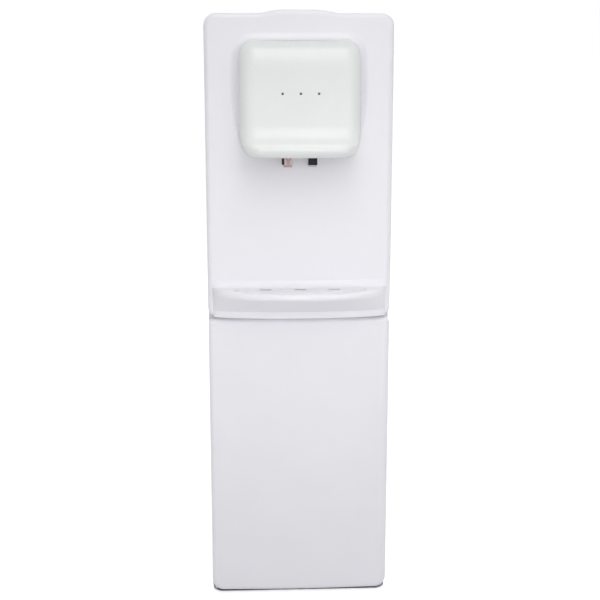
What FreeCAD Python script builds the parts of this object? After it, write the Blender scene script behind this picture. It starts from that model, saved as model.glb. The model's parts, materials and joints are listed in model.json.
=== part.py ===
import FreeCAD, Part
import math
import os

V = FreeCAD.Vector
X_AXIS = V(1, 0, 0)
Y_AXIS = V(0, 1, 0)
Z_AXIS = V(0, 0, 1)

# Floor-standing hot and cold water dispenser, in millimetres.
# The front faces -Y, the floor is Z = 0 and the origin is the middle of the footprint.

# Overall sizes
width = 310.0
cabinet_depth = 256.0
top_height = 1015.0
crown_rise = 5.5
head_reach = 80.0
overrun = 5.0
point_tolerance = 1e-6
loft_degree = 3

# Fits shared by several pieces
wall = 2.5
sheet = 1.0
running_fit = 0.05
loose_fit = 0.4
seat_gap = 0.3

# Front mouldings
front_bow = 4.0
front_edge_radius = 9.0
moulding_depth = 30.0
seam_share = 0.506
seam_gap = 4.5
top_corner_radius = 21.0
seam_corner_radius = 12.0
foot_corner_radius = 20.0
crown_flat = 72.0
crown_foot = 126.0
crown_blend_radius = 100.0

# Chin ledge with the drip tray
chin_reach = 60.0
chin_rim_reach = 18.0
chin_rim_height = 11.0
ledge_rise = 50.5
nose_radius = 7.0
nose_steps = 4
cove_radius = 16.0
cove_steps = 5
tray_half_width = 108.0
tray_front_margin = 9.0
tray_back = 19.5
tray_side = 6.0
tray_depth = 20.0
tray_taper = 14.0
tray_wall = 2.4
tray_flange = 3.0
tray_cover_thickness = 1.0
tray_lip = 0.6
drain_slot_length = 20.0
drain_slot_width = 3.2
drain_slot_pitch = 57.0

# Head over the taps; its levels give the rise above its foot, then how far
# its side and its front stand back there
head_drop = 41.0
head_half_width = 101.0
head_side_draft = 7.0
head_plan_radius = 26.0
head_radius_share = 0.6
head_window_margin = 34.0
head_window_front = 56.5
head_levels = [
    (0, 15, 10),
    (2, 11.5, 6),
    (5.5, 8, 2.5),
    (10.6, 5, 0.13),
    (16.4, 3, 0.13),
    (21.5, 1.8, 2.5),
    (25.6, 1, 7),
    (34, 0.3, 15.5),
    (44, 0, 21),
    (58, 0, 24.5),
    (100, 0, 30.5),
    (130, 0, 34.4),
    (152, 0.6, 38.5),
    (167, 3, 44.5),
    (176.5, 8, 55),
    (182.5, 15, 68),
    (185, 22, 76),
]

# Indicator lamps
lamp_diameter = 4.0
lamp_pitch = 29.0
lamp_level_count = 10
lamp_proud = 0.4
board_width = 84.0
board_height = 18.0
board_thickness = 1.6
board_setback = 14.0
board_boss_diameter = 6.0

# Taps
tap_spacing = 40.0
tap_rise = 36.0
tap_flange_diameter = 34.0
tap_flange_thickness = 4.0
tap_barrel_diameter = 22.0
tap_tail_diameter = 16.0
tap_tail_length = 24.0
tap_bore = 9.0
valve_width = 27.0
valve_back = 22.0
valve_front = 47.0
valve_rise = 18.0
valve_drop = 15.0
valve_corner_radius = 5.0
spout_width = 14.0
spout_reach = 38.0
spout_drop = 14.0
spout_corner_radius = 2.5
nut_across = 24.0
nut_sides = 6
nut_thickness = 6.0
lever_width = 14.0
lever_thickness = 3.0
lever_drop = 20.0
lever_pivot_reach = 16.0
lever_pivot_rise = 14.0
lever_hub_diameter = 9.0
lever_pin_diameter = 4.0
lever_toe = 6.0
lug_thickness = 3.0
lock_width = 9.0
lock_height = 14.0
lock_thickness = 3.0
lock_rail = 1.6
lock_drop = 13.0

# Cabinet shell
foot_height = 4.5
foot_diameter = 26.0
foot_inset = 34.0
base_flange = 14.0
panel_start = 34.0
rear_flange = 12.0
top_skirt = 35.0

# Door and storage compartment
door_bottom = 8.0
hinge_inset = 7.0
hinge_pin_diameter = 5.0
hinge_pin_reach = 14.0
hinge_boss_diameter = 11.0
liner_half_width = 138.0
liner_wall = 2.0
liner_floor = 26.0
liner_drop = 20.0
liner_step_height = 236.0
liner_low_depth = 84.0
liner_high_depth = 178.0
liner_flange = 12.0
catch_width = 34.0
catch_height = 12.0
catch_depth = 14.0
door_rib_thickness = 1.6
door_rib_shares = [-0.5, 0, 0.5]

# Bottle seat in the top cover
bottle_axis_back = 148.0
seat_hole_diameter = 180.0
seat_rim_diameter = 194.0
seat_rim_thickness = 3.0
seat_throat_diameter = 64.0
seat_throat_length = 46.0
seat_bowl_depth = 26.0
seat_wall = 2.5
dish_diameter = 202.0
dish_drop = 8.0
guard_diameter = 22.0
guard_bore = 9.0
guard_rise = 38.0
guard_spoke = 6.0
guard_arms = 3

# Cold tank and its cooling coil
cold_tank_diameter = 150.0
cold_tank_height = 166.0
cold_tank_drop = 64.0
tank_bay_diameter = 198.0
tank_wall = 1.0
tank_end_radius = 12.0
baffle_thickness = 2.0
baffle_share = 0.55
baffle_skirt = 10.0
baffle_tube_diameter = 16.0
coil_tube_diameter = 6.35
coil_pitch = 14.5
coil_turns = 6
insulation_floor = 20.0

# Hot tank
hot_tank_diameter = 104.0
hot_tank_room = 86.0
hot_tank_offset = -52.0
hot_tank_back = 150.0
heater_height_share = 0.27
heater_rise_share = 0.2
heater_thickness = 3.0
jacket_thickness = 12.0
jacket_floor = 20.0
jacket_rise = 14.0
thermostat_diameter = 16.0
thermostat_thickness = 6.0
thermostat_spacing = 40.0

# Shelves
machine_shelf_rise = 22.0
shelf_front = 60.0
shelf_flange = 16.0
shelf_passage = 30.0

# Hoses
hose_diameter = 11.0
hose_bore = 7.0
hose_bend = 26.0
hose_grip = 10.0
bend_share = 0.45
stub_length = 14.0

# Compressor and refrigerant circuit
compressor_length = 134.0
compressor_width = 92.0
compressor_height = 136.0
compressor_foot_width = 120.0
compressor_foot_length = 150.0
compressor_offset = 10.0
compressor_dome_radius = 28.0
compressor_plate = 3.0
compressor_seam = 3.0
grommet_diameter = 20.0
grommet_height = 12.0
terminal_width = 44.0
terminal_height = 52.0
terminal_depth = 22.0
condenser_standoff = 18.0
condenser_tube_diameter = 5.0
condenser_half_width = 116.0
condenser_passes = 13
condenser_rise = 67.0
condenser_top_drop = 148.0
wire_diameter = 1.6
wire_count = 27
wire_margin = 10.0
wire_overhang = 12.0
bracket_width = 10.0
bracket_foot = 22.0
bracket_thickness = 1.5
bracket_wire = 4
bracket_pass = 1
drier_diameter = 18.0
drier_length = 90.0
pipe_diameter = 6.0
pipe_bend = 16.0
pipe_rise = 40.0
suction_rise = 50.0

# Rear fittings
switch_width = 15.0
switch_height = 21.0
switch_bezel = 3.0
switch_depth = 16.0
switch_tilt = 9.0
switch_wall = 1.5
rocker_pin_diameter = 2.4
rocker_depth = 5.0
switch_row_height = 300.0
switch_spacing = 34.0
switch_offset = 20.0
gland_diameter = 16.0
gland_flange = 24.0
gland_bore = 7.0
gland_length = 16.0
gland_drop = 48.0
drain_height = 305.0
drain_offset = 96.0
drain_diameter = 16.0
drain_length = 14.0
drain_cap_diameter = 24.0
louvre_length = 96.0
louvre_height = 5.0
louvre_pitch = 13.0
louvre_count = 7
louvre_bottom = 62.0
louvre_gap_share = 0.25

# Places worked out from the sizes above
rear_reach = condenser_standoff + condenser_tube_diameter / 2 + wire_diameter
overall_depth = head_reach + cabinet_depth + rear_reach
front_y = head_reach - overall_depth / 2
rear_y = front_y + cabinet_depth
moulding_back = front_y + moulding_depth
panel_front = front_y + panel_start
half = width / 2
bow_radius = (half ** 2 + front_bow ** 2) / (2 * front_bow)
bottle_y = front_y + bottle_axis_back
seam_height = top_height * seam_share
ledge_height = seam_height + ledge_rise
head_bottom = top_height - head_drop - head_levels[-1][0]
lamp_height = head_bottom + head_levels[lamp_level_count][0]
tap_height = head_bottom + tap_rise
spout_bottom = head_bottom - spout_drop
lever_bottom = head_bottom - lever_drop
lever_pivot_height = head_bottom + lever_pivot_rise
liner_top = seam_height - liner_drop
door_top = seam_height - seam_gap
hinge_x = -half + hinge_inset
hinge_y = moulding_back - hinge_inset
base_top = foot_height + sheet
inner_half = half - sheet
inner_rear = rear_y - 2 * sheet
skirt_foot = top_height - top_skirt
dish_floor = top_height - dish_drop
switch_places = {"hot": switch_offset - switch_spacing / 2, "cold": switch_offset + switch_spacing / 2}
gland_height = switch_row_height - gland_drop
condenser_y = rear_y + condenser_standoff
condenser_bottom = drain_height + condenser_rise
condenser_pitch = (top_height - condenser_top_drop - condenser_bottom) / (condenser_passes - 1)
condenser_hole = condenser_tube_diameter + 4 * loose_fit
return_x = condenser_half_width + condenser_pitch / 2
return_height = condenser_bottom - condenser_pitch / 2
riser_x = -inner_half + shelf_passage
riser_y = inner_rear - shelf_passage
drain_hose_y = inner_rear - shelf_passage
cold_tank_bottom = top_height - cold_tank_drop - cold_tank_height
tank_shelf_top = cold_tank_bottom - insulation_floor
insulation_thickness = (tank_bay_diameter - cold_tank_diameter) / 2
baffle_rise = cold_tank_height * baffle_share
suction_height = tank_shelf_top + suction_rise
machine_shelf_top = seam_height + machine_shelf_rise
hot_tank_height = tank_shelf_top - machine_shelf_top - hot_tank_room
hot_tank_bottom = machine_shelf_top + jacket_floor
hot_tank_top = hot_tank_bottom + hot_tank_height
hot_tank_y = front_y + hot_tank_back
hot_feed_height = hot_tank_bottom + tank_end_radius + stub_length
heater_height = hot_tank_height * heater_height_share
heater_bottom = hot_feed_height + hot_tank_height * heater_rise_share
jacket_radius = hot_tank_diameter / 2 + heater_thickness + seat_gap + jacket_thickness
stub_diameter = hose_bore - 2 * running_fit
stub_bore = stub_diameter - 2 * tank_wall
cold_drain = V(cold_tank_diameter / 4, cold_tank_diameter / 4, 0)
tank_shelf_passages = [(0, bottle_y), (cold_drain.x, bottle_y + cold_drain.y), (riser_x, riser_y)]
machine_shelf_passages = [(drain_offset, drain_hose_y), (riser_x, riser_y)]


def forward(reach):
    """Y of a point that stands this far in front of the panel face."""
    return front_y - reach


def box(x0, x1, y0, y1, z0, z1):
    return Part.makeBox(x1 - x0, y1 - y0, z1 - z0, V(x0, y0, z0))


def rod(start, direction, diameter, length):
    return Part.makeCylinder(diameter / 2, length, start, direction)


def tube(start, direction, diameter, bore, length):
    return rod(start, direction, diameter, length).cut(rod(start, direction, bore, length))


def on_front(u, v):
    return V(u, 0, v)


def on_plan(u, v):
    return V(u, v, 0)


def on_side(u, v):
    return V(0, u, v)


def outline(points, place):
    """Closed wire through (u, v, radius) corners, each rounded by its own radius."""
    corners = [(place(u, v), radius) for u, v, radius in points]
    edges = []
    starts = []
    ends = []
    for i, (corner, radius) in enumerate(corners):
        to_last = (corners[i - 1][0] - corner).normalize()
        to_next = (corners[(i + 1) % len(corners)][0] - corner).normalize()
        turn = to_last.getAngle(to_next)
        setback = radius / math.tan(turn / 2) if radius else 0
        starts.append(corner + to_last * setback)
        ends.append(corner + to_next * setback)
        if radius:
            bisector = (to_last + to_next).normalize()
            middle = corner + bisector * (radius / math.sin(turn / 2) - radius)
            edges.append(Part.Arc(starts[i], middle, ends[i]).toShape())
    for i in range(len(corners)):
        following = (i + 1) % len(corners)
        if not ends[i].isEqual(starts[following], point_tolerance):
            edges.append(Part.makeLine(ends[i], starts[following]))
    return Part.Wire(Part.__sortEdges__(edges))


def prism(points, place, start, end):
    """Rounded outline drawn on one plane and pulled along that plane's normal."""
    normal = {on_front: Y_AXIS, on_plan: Z_AXIS, on_side: X_AXIS}[place]
    face = Part.Face(outline(points, place))
    face.translate(normal * start)
    return face.extrude(normal * (end - start))


def pipe(points, diameter, bend):
    """Round pipe along straight runs joined by tangent arcs."""
    edges = []
    start = points[0]
    for i in range(1, len(points) - 1):
        corner = points[i]
        to_last = points[i - 1] - corner
        to_next = points[i + 1] - corner
        opening = to_last.getAngle(to_next) / 2
        setback = min(bend / math.tan(opening), bend_share * min(to_last.Length, to_next.Length))
        radius = setback * math.tan(opening)
        to_last.normalize()
        to_next.normalize()
        bisector = (to_last + to_next).normalize()
        middle = corner + bisector * (radius / math.sin(opening) - radius)
        enter = corner + to_last * setback
        leave = corner + to_next * setback
        edges.append(Part.makeLine(start, enter))
        edges.append(Part.Arc(enter, middle, leave).toShape())
        start = leave
    edges.append(Part.makeLine(start, points[-1]))
    section = Part.Wire(Part.makeCircle(diameter / 2, points[0], points[1] - points[0]))
    return Part.Wire(edges).makePipeShell([section], True, False)


def hose(points):
    return pipe(points, hose_diameter, hose_bend).cut(pipe(points, hose_bore, hose_bend))


def mirrored(shape):
    return shape.mirror(V(0, 0, 0), X_AXIS)


def fused(shapes):
    return shapes[0].multiFuse(shapes[1:]).removeSplitter()


def save(name, shape):
    shape.exportStep("parts/" + name + ".step")


def front_block(corners, inset, back):
    """Body of a front moulding: bowed face, the outline given and a rounded front edge."""
    face = front_y + inset
    slab = prism(corners, on_front, face - overrun, back)
    low = slab.BoundBox.ZMin - overrun
    high = slab.BoundBox.ZMax + overrun
    slab = slab.common(Part.makeCylinder(bow_radius - inset, high - low, V(0, front_y + bow_radius, low)))
    front = min(slab.Faces, key=lambda side: side.CenterOfMass.y)
    return slab.makeFillet(front_edge_radius - inset, front.OuterWire.Edges)


def upper_corners(inset):
    side = half - inset
    foot = seam_height + inset
    top = top_height - inset
    crown = top + crown_rise
    right = [
        (side, foot, seam_corner_radius - inset),
        (side, top, top_corner_radius - inset),
        (crown_foot / 2, top, crown_blend_radius + inset),
        (crown_flat / 2, crown, crown_blend_radius - inset),
    ]
    return right + [(-x, z, radius) for x, z, radius in reversed(right)]


def door_corners(inset):
    side = half - inset
    right = [
        (side, door_bottom + inset, foot_corner_radius - inset),
        (side, door_top - inset, seam_corner_radius - inset),
    ]
    return right + [(-x, z, radius) for x, z, radius in reversed(right)]


chin_half_width = half - front_edge_radius
ledge_root = front_y + front_bow


def bowed_wire(z, half_width, reach, root, back):
    """Bowed plan outline: half an ellipse in front of root, closed straight across at back."""
    middle = V(0, root, z)
    ellipse = Part.Ellipse(middle + X_AXIS * half_width, middle - Y_AXIS * reach, middle)
    bow = Part.ArcOfEllipse(ellipse, 0, math.pi).toShape()
    right = V(half_width, back, z)
    left = V(-half_width, back, z)
    sides = [
        Part.makeLine(V(-half_width, root, z), left),
        Part.makeLine(left, right),
        Part.makeLine(right, V(half_width, root, z)),
    ]
    return Part.Wire([bow] + sides)


def bowed_loft(levels, half_width, root, back):
    set_in = root - front_y
    wires = [bowed_wire(z, half_width, reach + set_in, root, back) for z, reach in levels]
    return Part.makeLoft(wires, True, True)


def chin_levels(inset):
    """Heights and reaches of the chin, from its rim round the nose to the ledge."""
    rim_top = seam_height + chin_rim_height
    nose_z = ledge_height - nose_radius
    nose_reach = chin_reach - nose_radius
    lean = math.atan2(chin_reach - chin_rim_reach, nose_z - rim_top)
    levels = [(seam_height + inset, chin_rim_reach - inset), (rim_top, chin_rim_reach - inset)]
    for i in range(nose_steps + 1):
        angle = -lean + (lean + math.pi / 2) * i / nose_steps
        radius = nose_radius - inset
        levels.append((nose_z + radius * math.sin(angle), nose_reach + radius * math.cos(angle)))
    return levels


def cove_levels():
    """Heights and reaches of the hollow curve from the ledge up to the panel face."""
    levels = []
    for i in range(cove_steps):
        angle = math.pi / 2 * i / cove_steps
        rise = cove_radius * (1 - math.cos(angle))
        levels.append((ledge_height + rise, cove_radius * (1 - math.sin(angle))))
    return levels


tray_root = forward(tray_back + tray_side)
tray_reach = chin_reach - tray_front_margin - tray_back - tray_side


def tray_block(low, high, grow, taper):
    """Plan shape of the tray, larger than its hole by grow and drawn in by taper at its foot."""
    back = forward(tray_back) + grow
    wires = [
        bowed_wire(low, tray_half_width + grow - taper, tray_reach + grow - taper, tray_root, back),
        bowed_wire(high, tray_half_width + grow, tray_reach + grow, tray_root, back),
    ]
    return Part.makeLoft(wires, True, True)


def head_wire(z, half_width, reach, back):
    """Plan outline of the head at one level, with drafted sides and round front corners."""
    front = forward(reach)
    tip = half_width - head_side_draft * reach / head_reach
    radius = min(head_plan_radius, head_radius_share * (back - front))
    right = [(tip, front, radius), (half_width, back, 0)]
    left = [(-x, y, rounding) for x, y, rounding in reversed(right)]
    return outline(left + right, on_plan).translated(Z_AXIS * z)


def head_block(inset, back):
    """Head moulding: a soft pillow with a leaning face and a rolled lip at its foot."""
    wires = []
    for rise, side, setback in head_levels:
        half_width = head_half_width - side - inset
        wires.append(head_wire(head_bottom + rise, half_width, head_reach - setback - inset, front_y + back))
    return Part.makeLoft(wires, True, False, False, loft_degree)


upper_block = front_block(upper_corners(0), 0, panel_front)
lamp_reach = head_reach - head_levels[lamp_level_count][2]
lamp_places = [-lamp_pitch, 0, lamp_pitch]
tap_places = {"hot": -tap_spacing / 2, "cold": tap_spacing / 2}


def upper_front_panel():
    shell = upper_block.cut(front_block(upper_corners(wall), wall, panel_front + overrun))
    inner_root = ledge_root + wall
    chin = bowed_loft(chin_levels(0), chin_half_width, ledge_root, inner_root)
    cove = bowed_loft(cove_levels(), chin_half_width, ledge_root, inner_root)
    hollow = bowed_loft(chin_levels(wall), chin_half_width - wall, ledge_root, inner_root + overrun)
    panel = fused([shell, chin, cove]).cut(hollow)
    panel = panel.cut(tray_block(ledge_height - wall - overrun, ledge_height + overrun, 0, 0))
    for x in tap_places.values():
        hole = tap_tail_diameter + 2 * loose_fit
        panel = panel.cut(rod(V(x, front_y - overrun, tap_height), Y_AXIS, hole, wall + 2 * overrun))
    boss = rod(V(hinge_x, hinge_y, seam_height), Z_AXIS, hinge_boss_diameter, hinge_pin_reach)
    pin_hole = hinge_pin_diameter + 2 * running_fit
    hole = rod(V(hinge_x, hinge_y, seam_height - overrun), Z_AXIS, pin_hole, hinge_pin_reach + overrun)
    return fused([panel, boss.common(upper_block)]).cut(hole)


def head_cover():
    cover = head_block(0, overrun).cut(head_block(wall, 2 * overrun)).cut(upper_block)
    window = tap_spacing / 2 + head_window_margin
    window_front = forward(head_window_front)
    low = head_bottom - overrun
    high = head_bottom + 2 * overrun
    cover = cover.cut(box(-window, window, window_front, front_y + overrun, low, high))
    boss_x = board_width / 2 - board_boss_diameter
    for x in (-boss_x, boss_x):
        start = V(x, forward(lamp_reach - wall / 2), lamp_height)
        cover = fused([cover, rod(start, Y_AXIS, board_boss_diameter, board_setback - wall / 2)])
    lamp_hole = lamp_diameter + 2 * running_fit
    for x in lamp_places:
        start = V(x, forward(head_reach), lamp_height)
        cover = cover.cut(rod(start, Y_AXIS, lamp_hole, head_reach - lamp_reach + 2 * wall))
    return cover


def drip_tray():
    rim_low = ledge_height
    lip_top = rim_low + tray_lip
    rim_high = lip_top + tray_cover_thickness
    pan = tray_block(ledge_height - tray_depth, rim_low, -loose_fit, tray_taper)
    inside = -loose_fit - tray_wall
    pan = pan.cut(tray_block(ledge_height - tray_depth + tray_wall, rim_low, inside, tray_taper - tray_wall))
    rim = tray_block(rim_low, rim_high, tray_flange, 0)
    rim = rim.cut(tray_block(lip_top, rim_high, -loose_fit - tray_wall / 2, 0))
    rim = rim.cut(tray_block(rim_low, lip_top, inside, 0))
    return fused([pan, rim])


def drip_tray_cover():
    low = ledge_height + tray_lip
    plate = tray_block(low, low + tray_cover_thickness, -2 * loose_fit - tray_wall / 2, 0)
    slot_y = forward(tray_back + tray_side)
    reach = drain_slot_length / 2
    breadth = drain_slot_width / 2
    for x in (-drain_slot_pitch, 0, drain_slot_pitch):
        corners = [
            (x - reach, slot_y - breadth, breadth),
            (x + reach, slot_y - breadth, breadth),
            (x + reach, slot_y + breadth, breadth),
            (x - reach, slot_y + breadth, breadth),
        ]
        plate = plate.cut(prism(corners, on_plan, low - overrun, low + overrun))
    return plate


def indicator_lenses():
    length = board_setback + lamp_proud
    start = forward(lamp_reach + lamp_proud)
    return Part.Compound([rod(V(x, start, lamp_height), Y_AXIS, lamp_diameter, length) for x in lamp_places])


def indicator_board():
    front = forward(lamp_reach - board_setback)
    low = lamp_height - board_height / 2
    return box(-board_width / 2, board_width / 2, front, front + board_thickness, low, low + board_height)


def tap_body(x):
    """Tap with its tail through the panel, a valve block, a square spout and lever lugs."""
    axis = V(x, front_y, tap_height)
    flange = rod(axis, -Y_AXIS, tap_flange_diameter, tap_flange_thickness)
    barrel = rod(axis, -Y_AXIS, tap_barrel_diameter, valve_back + valve_corner_radius)
    tail = rod(axis, Y_AXIS, tap_tail_diameter, tap_tail_length)
    side = valve_width / 2
    block = [
        (x - side, forward(valve_back), valve_corner_radius),
        (x + side, forward(valve_back), valve_corner_radius),
        (x + side, forward(valve_front), valve_corner_radius),
        (x - side, forward(valve_front), valve_corner_radius),
    ]
    valve = prism(block, on_plan, tap_height - valve_drop, tap_height + valve_rise)
    side = spout_width / 2
    square = [
        (x - side, forward(spout_reach - side), spout_corner_radius),
        (x + side, forward(spout_reach - side), spout_corner_radius),
        (x + side, forward(spout_reach + side), spout_corner_radius),
        (x - side, forward(spout_reach + side), spout_corner_radius),
    ]
    spout = prism(square, on_plan, spout_bottom, tap_height - valve_drop)
    lugs = []
    lug_radius = lever_hub_diameter / 2
    lug_y = forward(lever_pivot_reach)
    for edge in (x - lever_width / 2 - seat_gap - lug_thickness, x + lever_width / 2 + seat_gap):
        web = [
            (lug_y - lug_radius, lever_pivot_height - lug_radius, lug_radius),
            (lug_y + lug_radius, lever_pivot_height - lug_radius, lug_radius),
            (lug_y + lug_radius, tap_height, 0),
            (lug_y - lug_radius, tap_height, 0),
        ]
        lugs.append(prism(web, on_side, edge, edge + lug_thickness))
    body = fused([flange, barrel, tail, valve, spout] + lugs)
    body = body.cut(rod(axis + Y_AXIS * tap_tail_length, -Y_AXIS, tap_bore, tap_tail_length + spout_reach))
    mouth = V(x, forward(spout_reach), spout_bottom)
    body = body.cut(rod(mouth, Z_AXIS, tap_bore, tap_height - spout_bottom))
    pivot = V(x - valve_width, lug_y, lever_pivot_height)
    return body.cut(rod(pivot, X_AXIS, lever_pin_diameter + 2 * running_fit, 2 * valve_width))


def tap_lever(x):
    """Push paddle with its hub, pivot pin and a toe that meets the cup."""
    pivot_y = forward(lever_pivot_reach)
    side = lever_width / 2
    hub = rod(V(x - side, pivot_y, lever_pivot_height), X_AXIS, lever_hub_diameter, lever_width)
    pin_reach = side + seat_gap + lug_thickness
    pin = rod(V(x - pin_reach, pivot_y, lever_pivot_height), X_AXIS, lever_pin_diameter, 2 * pin_reach)
    half_blade = lever_thickness / 2
    blade = [
        (pivot_y + half_blade, lever_pivot_height, 0),
        (pivot_y + half_blade, lever_bottom, lever_thickness),
        (pivot_y - lever_toe, lever_bottom, half_blade / 2),
        (pivot_y - lever_toe, lever_bottom + lever_thickness, half_blade / 2),
        (pivot_y - half_blade, lever_bottom + lever_thickness + lever_toe / 2, lever_thickness),
        (pivot_y - half_blade, lever_pivot_height, 0),
    ]
    return fused([hub, pin, prism(blade, on_side, x - side, x + side)])


lock_x = tap_places["hot"] - valve_width / 2
lock_y = forward((valve_back + valve_front) / 2)


def hot_tap_body():
    """Hot tap: the plain tap with two rails on its outer side for the child lock."""
    rails = []
    low = tap_height - valve_drop + valve_corner_radius
    high = tap_height + valve_rise
    edge = lock_width / 2 + seat_gap
    for start in (lock_y - edge - lock_rail, lock_y + edge):
        rails.append(box(lock_x - lock_thickness, lock_x + lock_rail, start, start + lock_rail, low, high))
    return fused([tap_body(tap_places["hot"])] + rails)


def hot_tap_lock():
    """Child lock: a slide with a thumb tab that hangs below the valve block."""
    outer = lock_x - seat_gap - lock_thickness
    inner = lock_x - seat_gap
    breadth = lock_width / 2
    low = tap_height - valve_drop - lock_drop
    slide = box(outer, inner, lock_y - breadth, lock_y + breadth, low, low + lock_drop + lock_height)
    tab = box(outer - lock_thickness, outer, lock_y - breadth, lock_y + breadth, low, low + lock_thickness)
    return fused([slide, tab])


def tap_nuts():
    nuts = []
    step = 2 * math.pi / nut_sides
    radius = nut_across / 2 / math.cos(step / 2)
    start = front_y + wall + (tap_spacing / 2 + nut_across) ** 2 / (2 * bow_radius)
    for x in tap_places.values():
        corners = []
        for i in range(nut_sides):
            corners.append((x + radius * math.cos(step * i), tap_height + radius * math.sin(step * i), 0))
        nut = prism(corners, on_front, start, start + nut_thickness)
        bore = tap_tail_diameter + 2 * running_fit
        nuts.append(nut.cut(rod(V(x, front_y, tap_height), Y_AXIS, bore, tap_tail_length)))
    return Part.Compound(nuts)


def cabinet_door():
    block = front_block(door_corners(0), 0, moulding_back)
    door = block.cut(front_block(door_corners(wall), wall, moulding_back + overrun))
    ribs = []
    for share in door_rib_shares:
        x = half * share
        rear = moulding_back - liner_wall
        ribs.append(box(x, x + door_rib_thickness, front_y, rear, door_bottom, door_top))
    low_boss = rod(V(hinge_x, hinge_y, door_bottom), Z_AXIS, hinge_boss_diameter, hinge_pin_reach + wall)
    top_boss = rod(V(hinge_x, hinge_y, door_top), -Z_AXIS, hinge_boss_diameter, hinge_pin_reach + wall)
    door = fused([door] + [piece.common(block) for piece in ribs + [low_boss, top_boss]])
    pin_hole = hinge_pin_diameter + 2 * running_fit
    depth = overrun + hinge_pin_reach + seat_gap
    for start, direction in ((door_bottom - overrun, Z_AXIS), (door_top + overrun, -Z_AXIS)):
        door = door.cut(rod(V(hinge_x, hinge_y, start), direction, pin_hole, depth))
    return door


def door_liner():
    """Inner skin that closes the back of the door, clear of the hinge bosses."""
    inset = wall + seat_gap
    side = half - inset
    corners = [
        (hinge_x + hinge_boss_diameter, door_bottom + inset, 0),
        (side, door_bottom + inset, foot_corner_radius - inset),
        (side, door_top - inset, seam_corner_radius - inset),
        (hinge_x + hinge_boss_diameter, door_top - inset, 0),
    ]
    return prism(corners, on_front, moulding_back - liner_wall, moulding_back)


def door_hinge_pins():
    rise = door_bottom + hinge_pin_reach - base_top
    low = rod(V(hinge_x, hinge_y, base_top), Z_AXIS, hinge_pin_diameter, rise)
    span = hinge_pin_reach + seam_gap + hinge_pin_reach
    high = rod(V(hinge_x, hinge_y, door_top - hinge_pin_reach), Z_AXIS, hinge_pin_diameter, span)
    return Part.Compound([low, high])


def base_plate():
    """Pressed steel base with its rim turned up on all four sides."""
    front = front_y + front_edge_radius
    plan = [
        (-inner_half, front, 0),
        (inner_half, front, 0),
        (inner_half, inner_rear, 0),
        (-inner_half, inner_rear, 0),
    ]
    plate = prism(plan, on_plan, foot_height, base_top)
    sides = []
    rim = base_top + base_flange
    for edge in (-inner_half, inner_half - sheet):
        sides.append(box(edge, edge + sheet, panel_front + sheet, inner_rear, base_top, rim))
    back = box(-inner_half, inner_half, inner_rear - sheet, inner_rear, base_top, rim)
    return fused([plate, back] + sides)


def levelling_feet():
    feet = []
    for x in (-half + foot_inset, half - foot_inset):
        for y in (front_y + foot_inset, rear_y - foot_inset):
            foot = rod(V(x, y, 0), Z_AXIS, foot_diameter, foot_height)
            rims = [edge for edge in foot.Edges if edge.BoundBox.ZMax < foot_height / 2]
            feet.append(foot.makeChamfer(foot_height / 4, rims))
    return Part.Compound(feet)


def right_side_panel():
    """Sheet side wall with narrow returns at its front and rear edges."""
    plan = [
        (half, panel_front, 0),
        (half, rear_y - sheet, 0),
        (half - rear_flange, rear_y - sheet, 0),
        (half - rear_flange, inner_rear, 0),
        (inner_half, inner_rear, 0),
        (inner_half, panel_front + sheet, 0),
        (half - rear_flange, panel_front + sheet, 0),
        (half - rear_flange, panel_front, 0),
    ]
    return prism(plan, on_plan, base_top, skirt_foot)


def rear_panel():
    """Sheet back with vent slots and the cut-outs for the fittings it carries."""
    back = box(-half, half, rear_y - sheet, rear_y, foot_height, skirt_foot)
    cutters = []
    for column in (-1, 1):
        middle = column * louvre_length * (1 + louvre_gap_share) / 2
        for row in range(louvre_count):
            low = louvre_bottom + louvre_pitch * row
            corners = [
                (middle - louvre_length / 2, low, louvre_height / 2),
                (middle + louvre_length / 2, low, louvre_height / 2),
                (middle + louvre_length / 2, low + louvre_height, louvre_height / 2),
                (middle - louvre_length / 2, low + louvre_height, louvre_height / 2),
            ]
            cutters.append(prism(corners, on_front, rear_y - overrun, rear_y + overrun))
    for x in switch_places.values():
        side = switch_width / 2 + loose_fit
        rise = switch_height / 2 + loose_fit
        low = switch_row_height - rise
        cutters.append(box(x - side, x + side, rear_y - overrun, rear_y + overrun, low, low + 2 * rise))
    holes = [
        (switch_offset, gland_height, gland_diameter + 2 * loose_fit),
        (drain_offset, drain_height, drain_diameter + 2 * loose_fit),
        (-condenser_half_width, condenser_bottom, condenser_hole),
        (return_x, return_height, condenser_hole),
    ]
    for x, z, diameter in holes:
        cutters.append(rod(V(x, rear_y - overrun, z), Y_AXIS, diameter, 2 * overrun))
    return back.cut(Part.Compound(cutters))


def top_cover():
    """Moulded cap with rounded shoulders and a round dish for the bottle seat."""
    def cap(inset, foot, front, back):
        side = half - inset
        top = top_height - inset
        radius = top_corner_radius - inset
        corners = [(-side, foot, 0), (-side, top, radius), (side, top, radius), (side, foot, 0)]
        return prism(corners, on_front, front, back)

    cover = cap(0, skirt_foot, panel_front, rear_y)
    cover = cover.cut(cap(wall, skirt_foot - overrun, panel_front - overrun, rear_y - wall))
    dish = rod(V(0, bottle_y, dish_floor - wall), Z_AXIS, dish_diameter + 2 * wall, dish_drop + wall)
    cover = fused([cover, dish])
    cover = cover.cut(rod(V(0, bottle_y, dish_floor), Z_AXIS, dish_diameter, dish_drop + overrun))
    return cover.cut(rod(V(0, bottle_y, skirt_foot), Z_AXIS, seat_hole_diameter, top_skirt))


def revolved(points):
    """Ring turned about the bottle axis from (radius, height) corners."""
    wire = Part.makePolygon([V(radius, 0, z) for radius, z in points + points[:1]])
    ring = Part.Face(wire).revolve(V(0, 0, 0), Z_AXIS, 360)
    ring.translate(Y_AXIS * bottle_y)
    return ring


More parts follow.
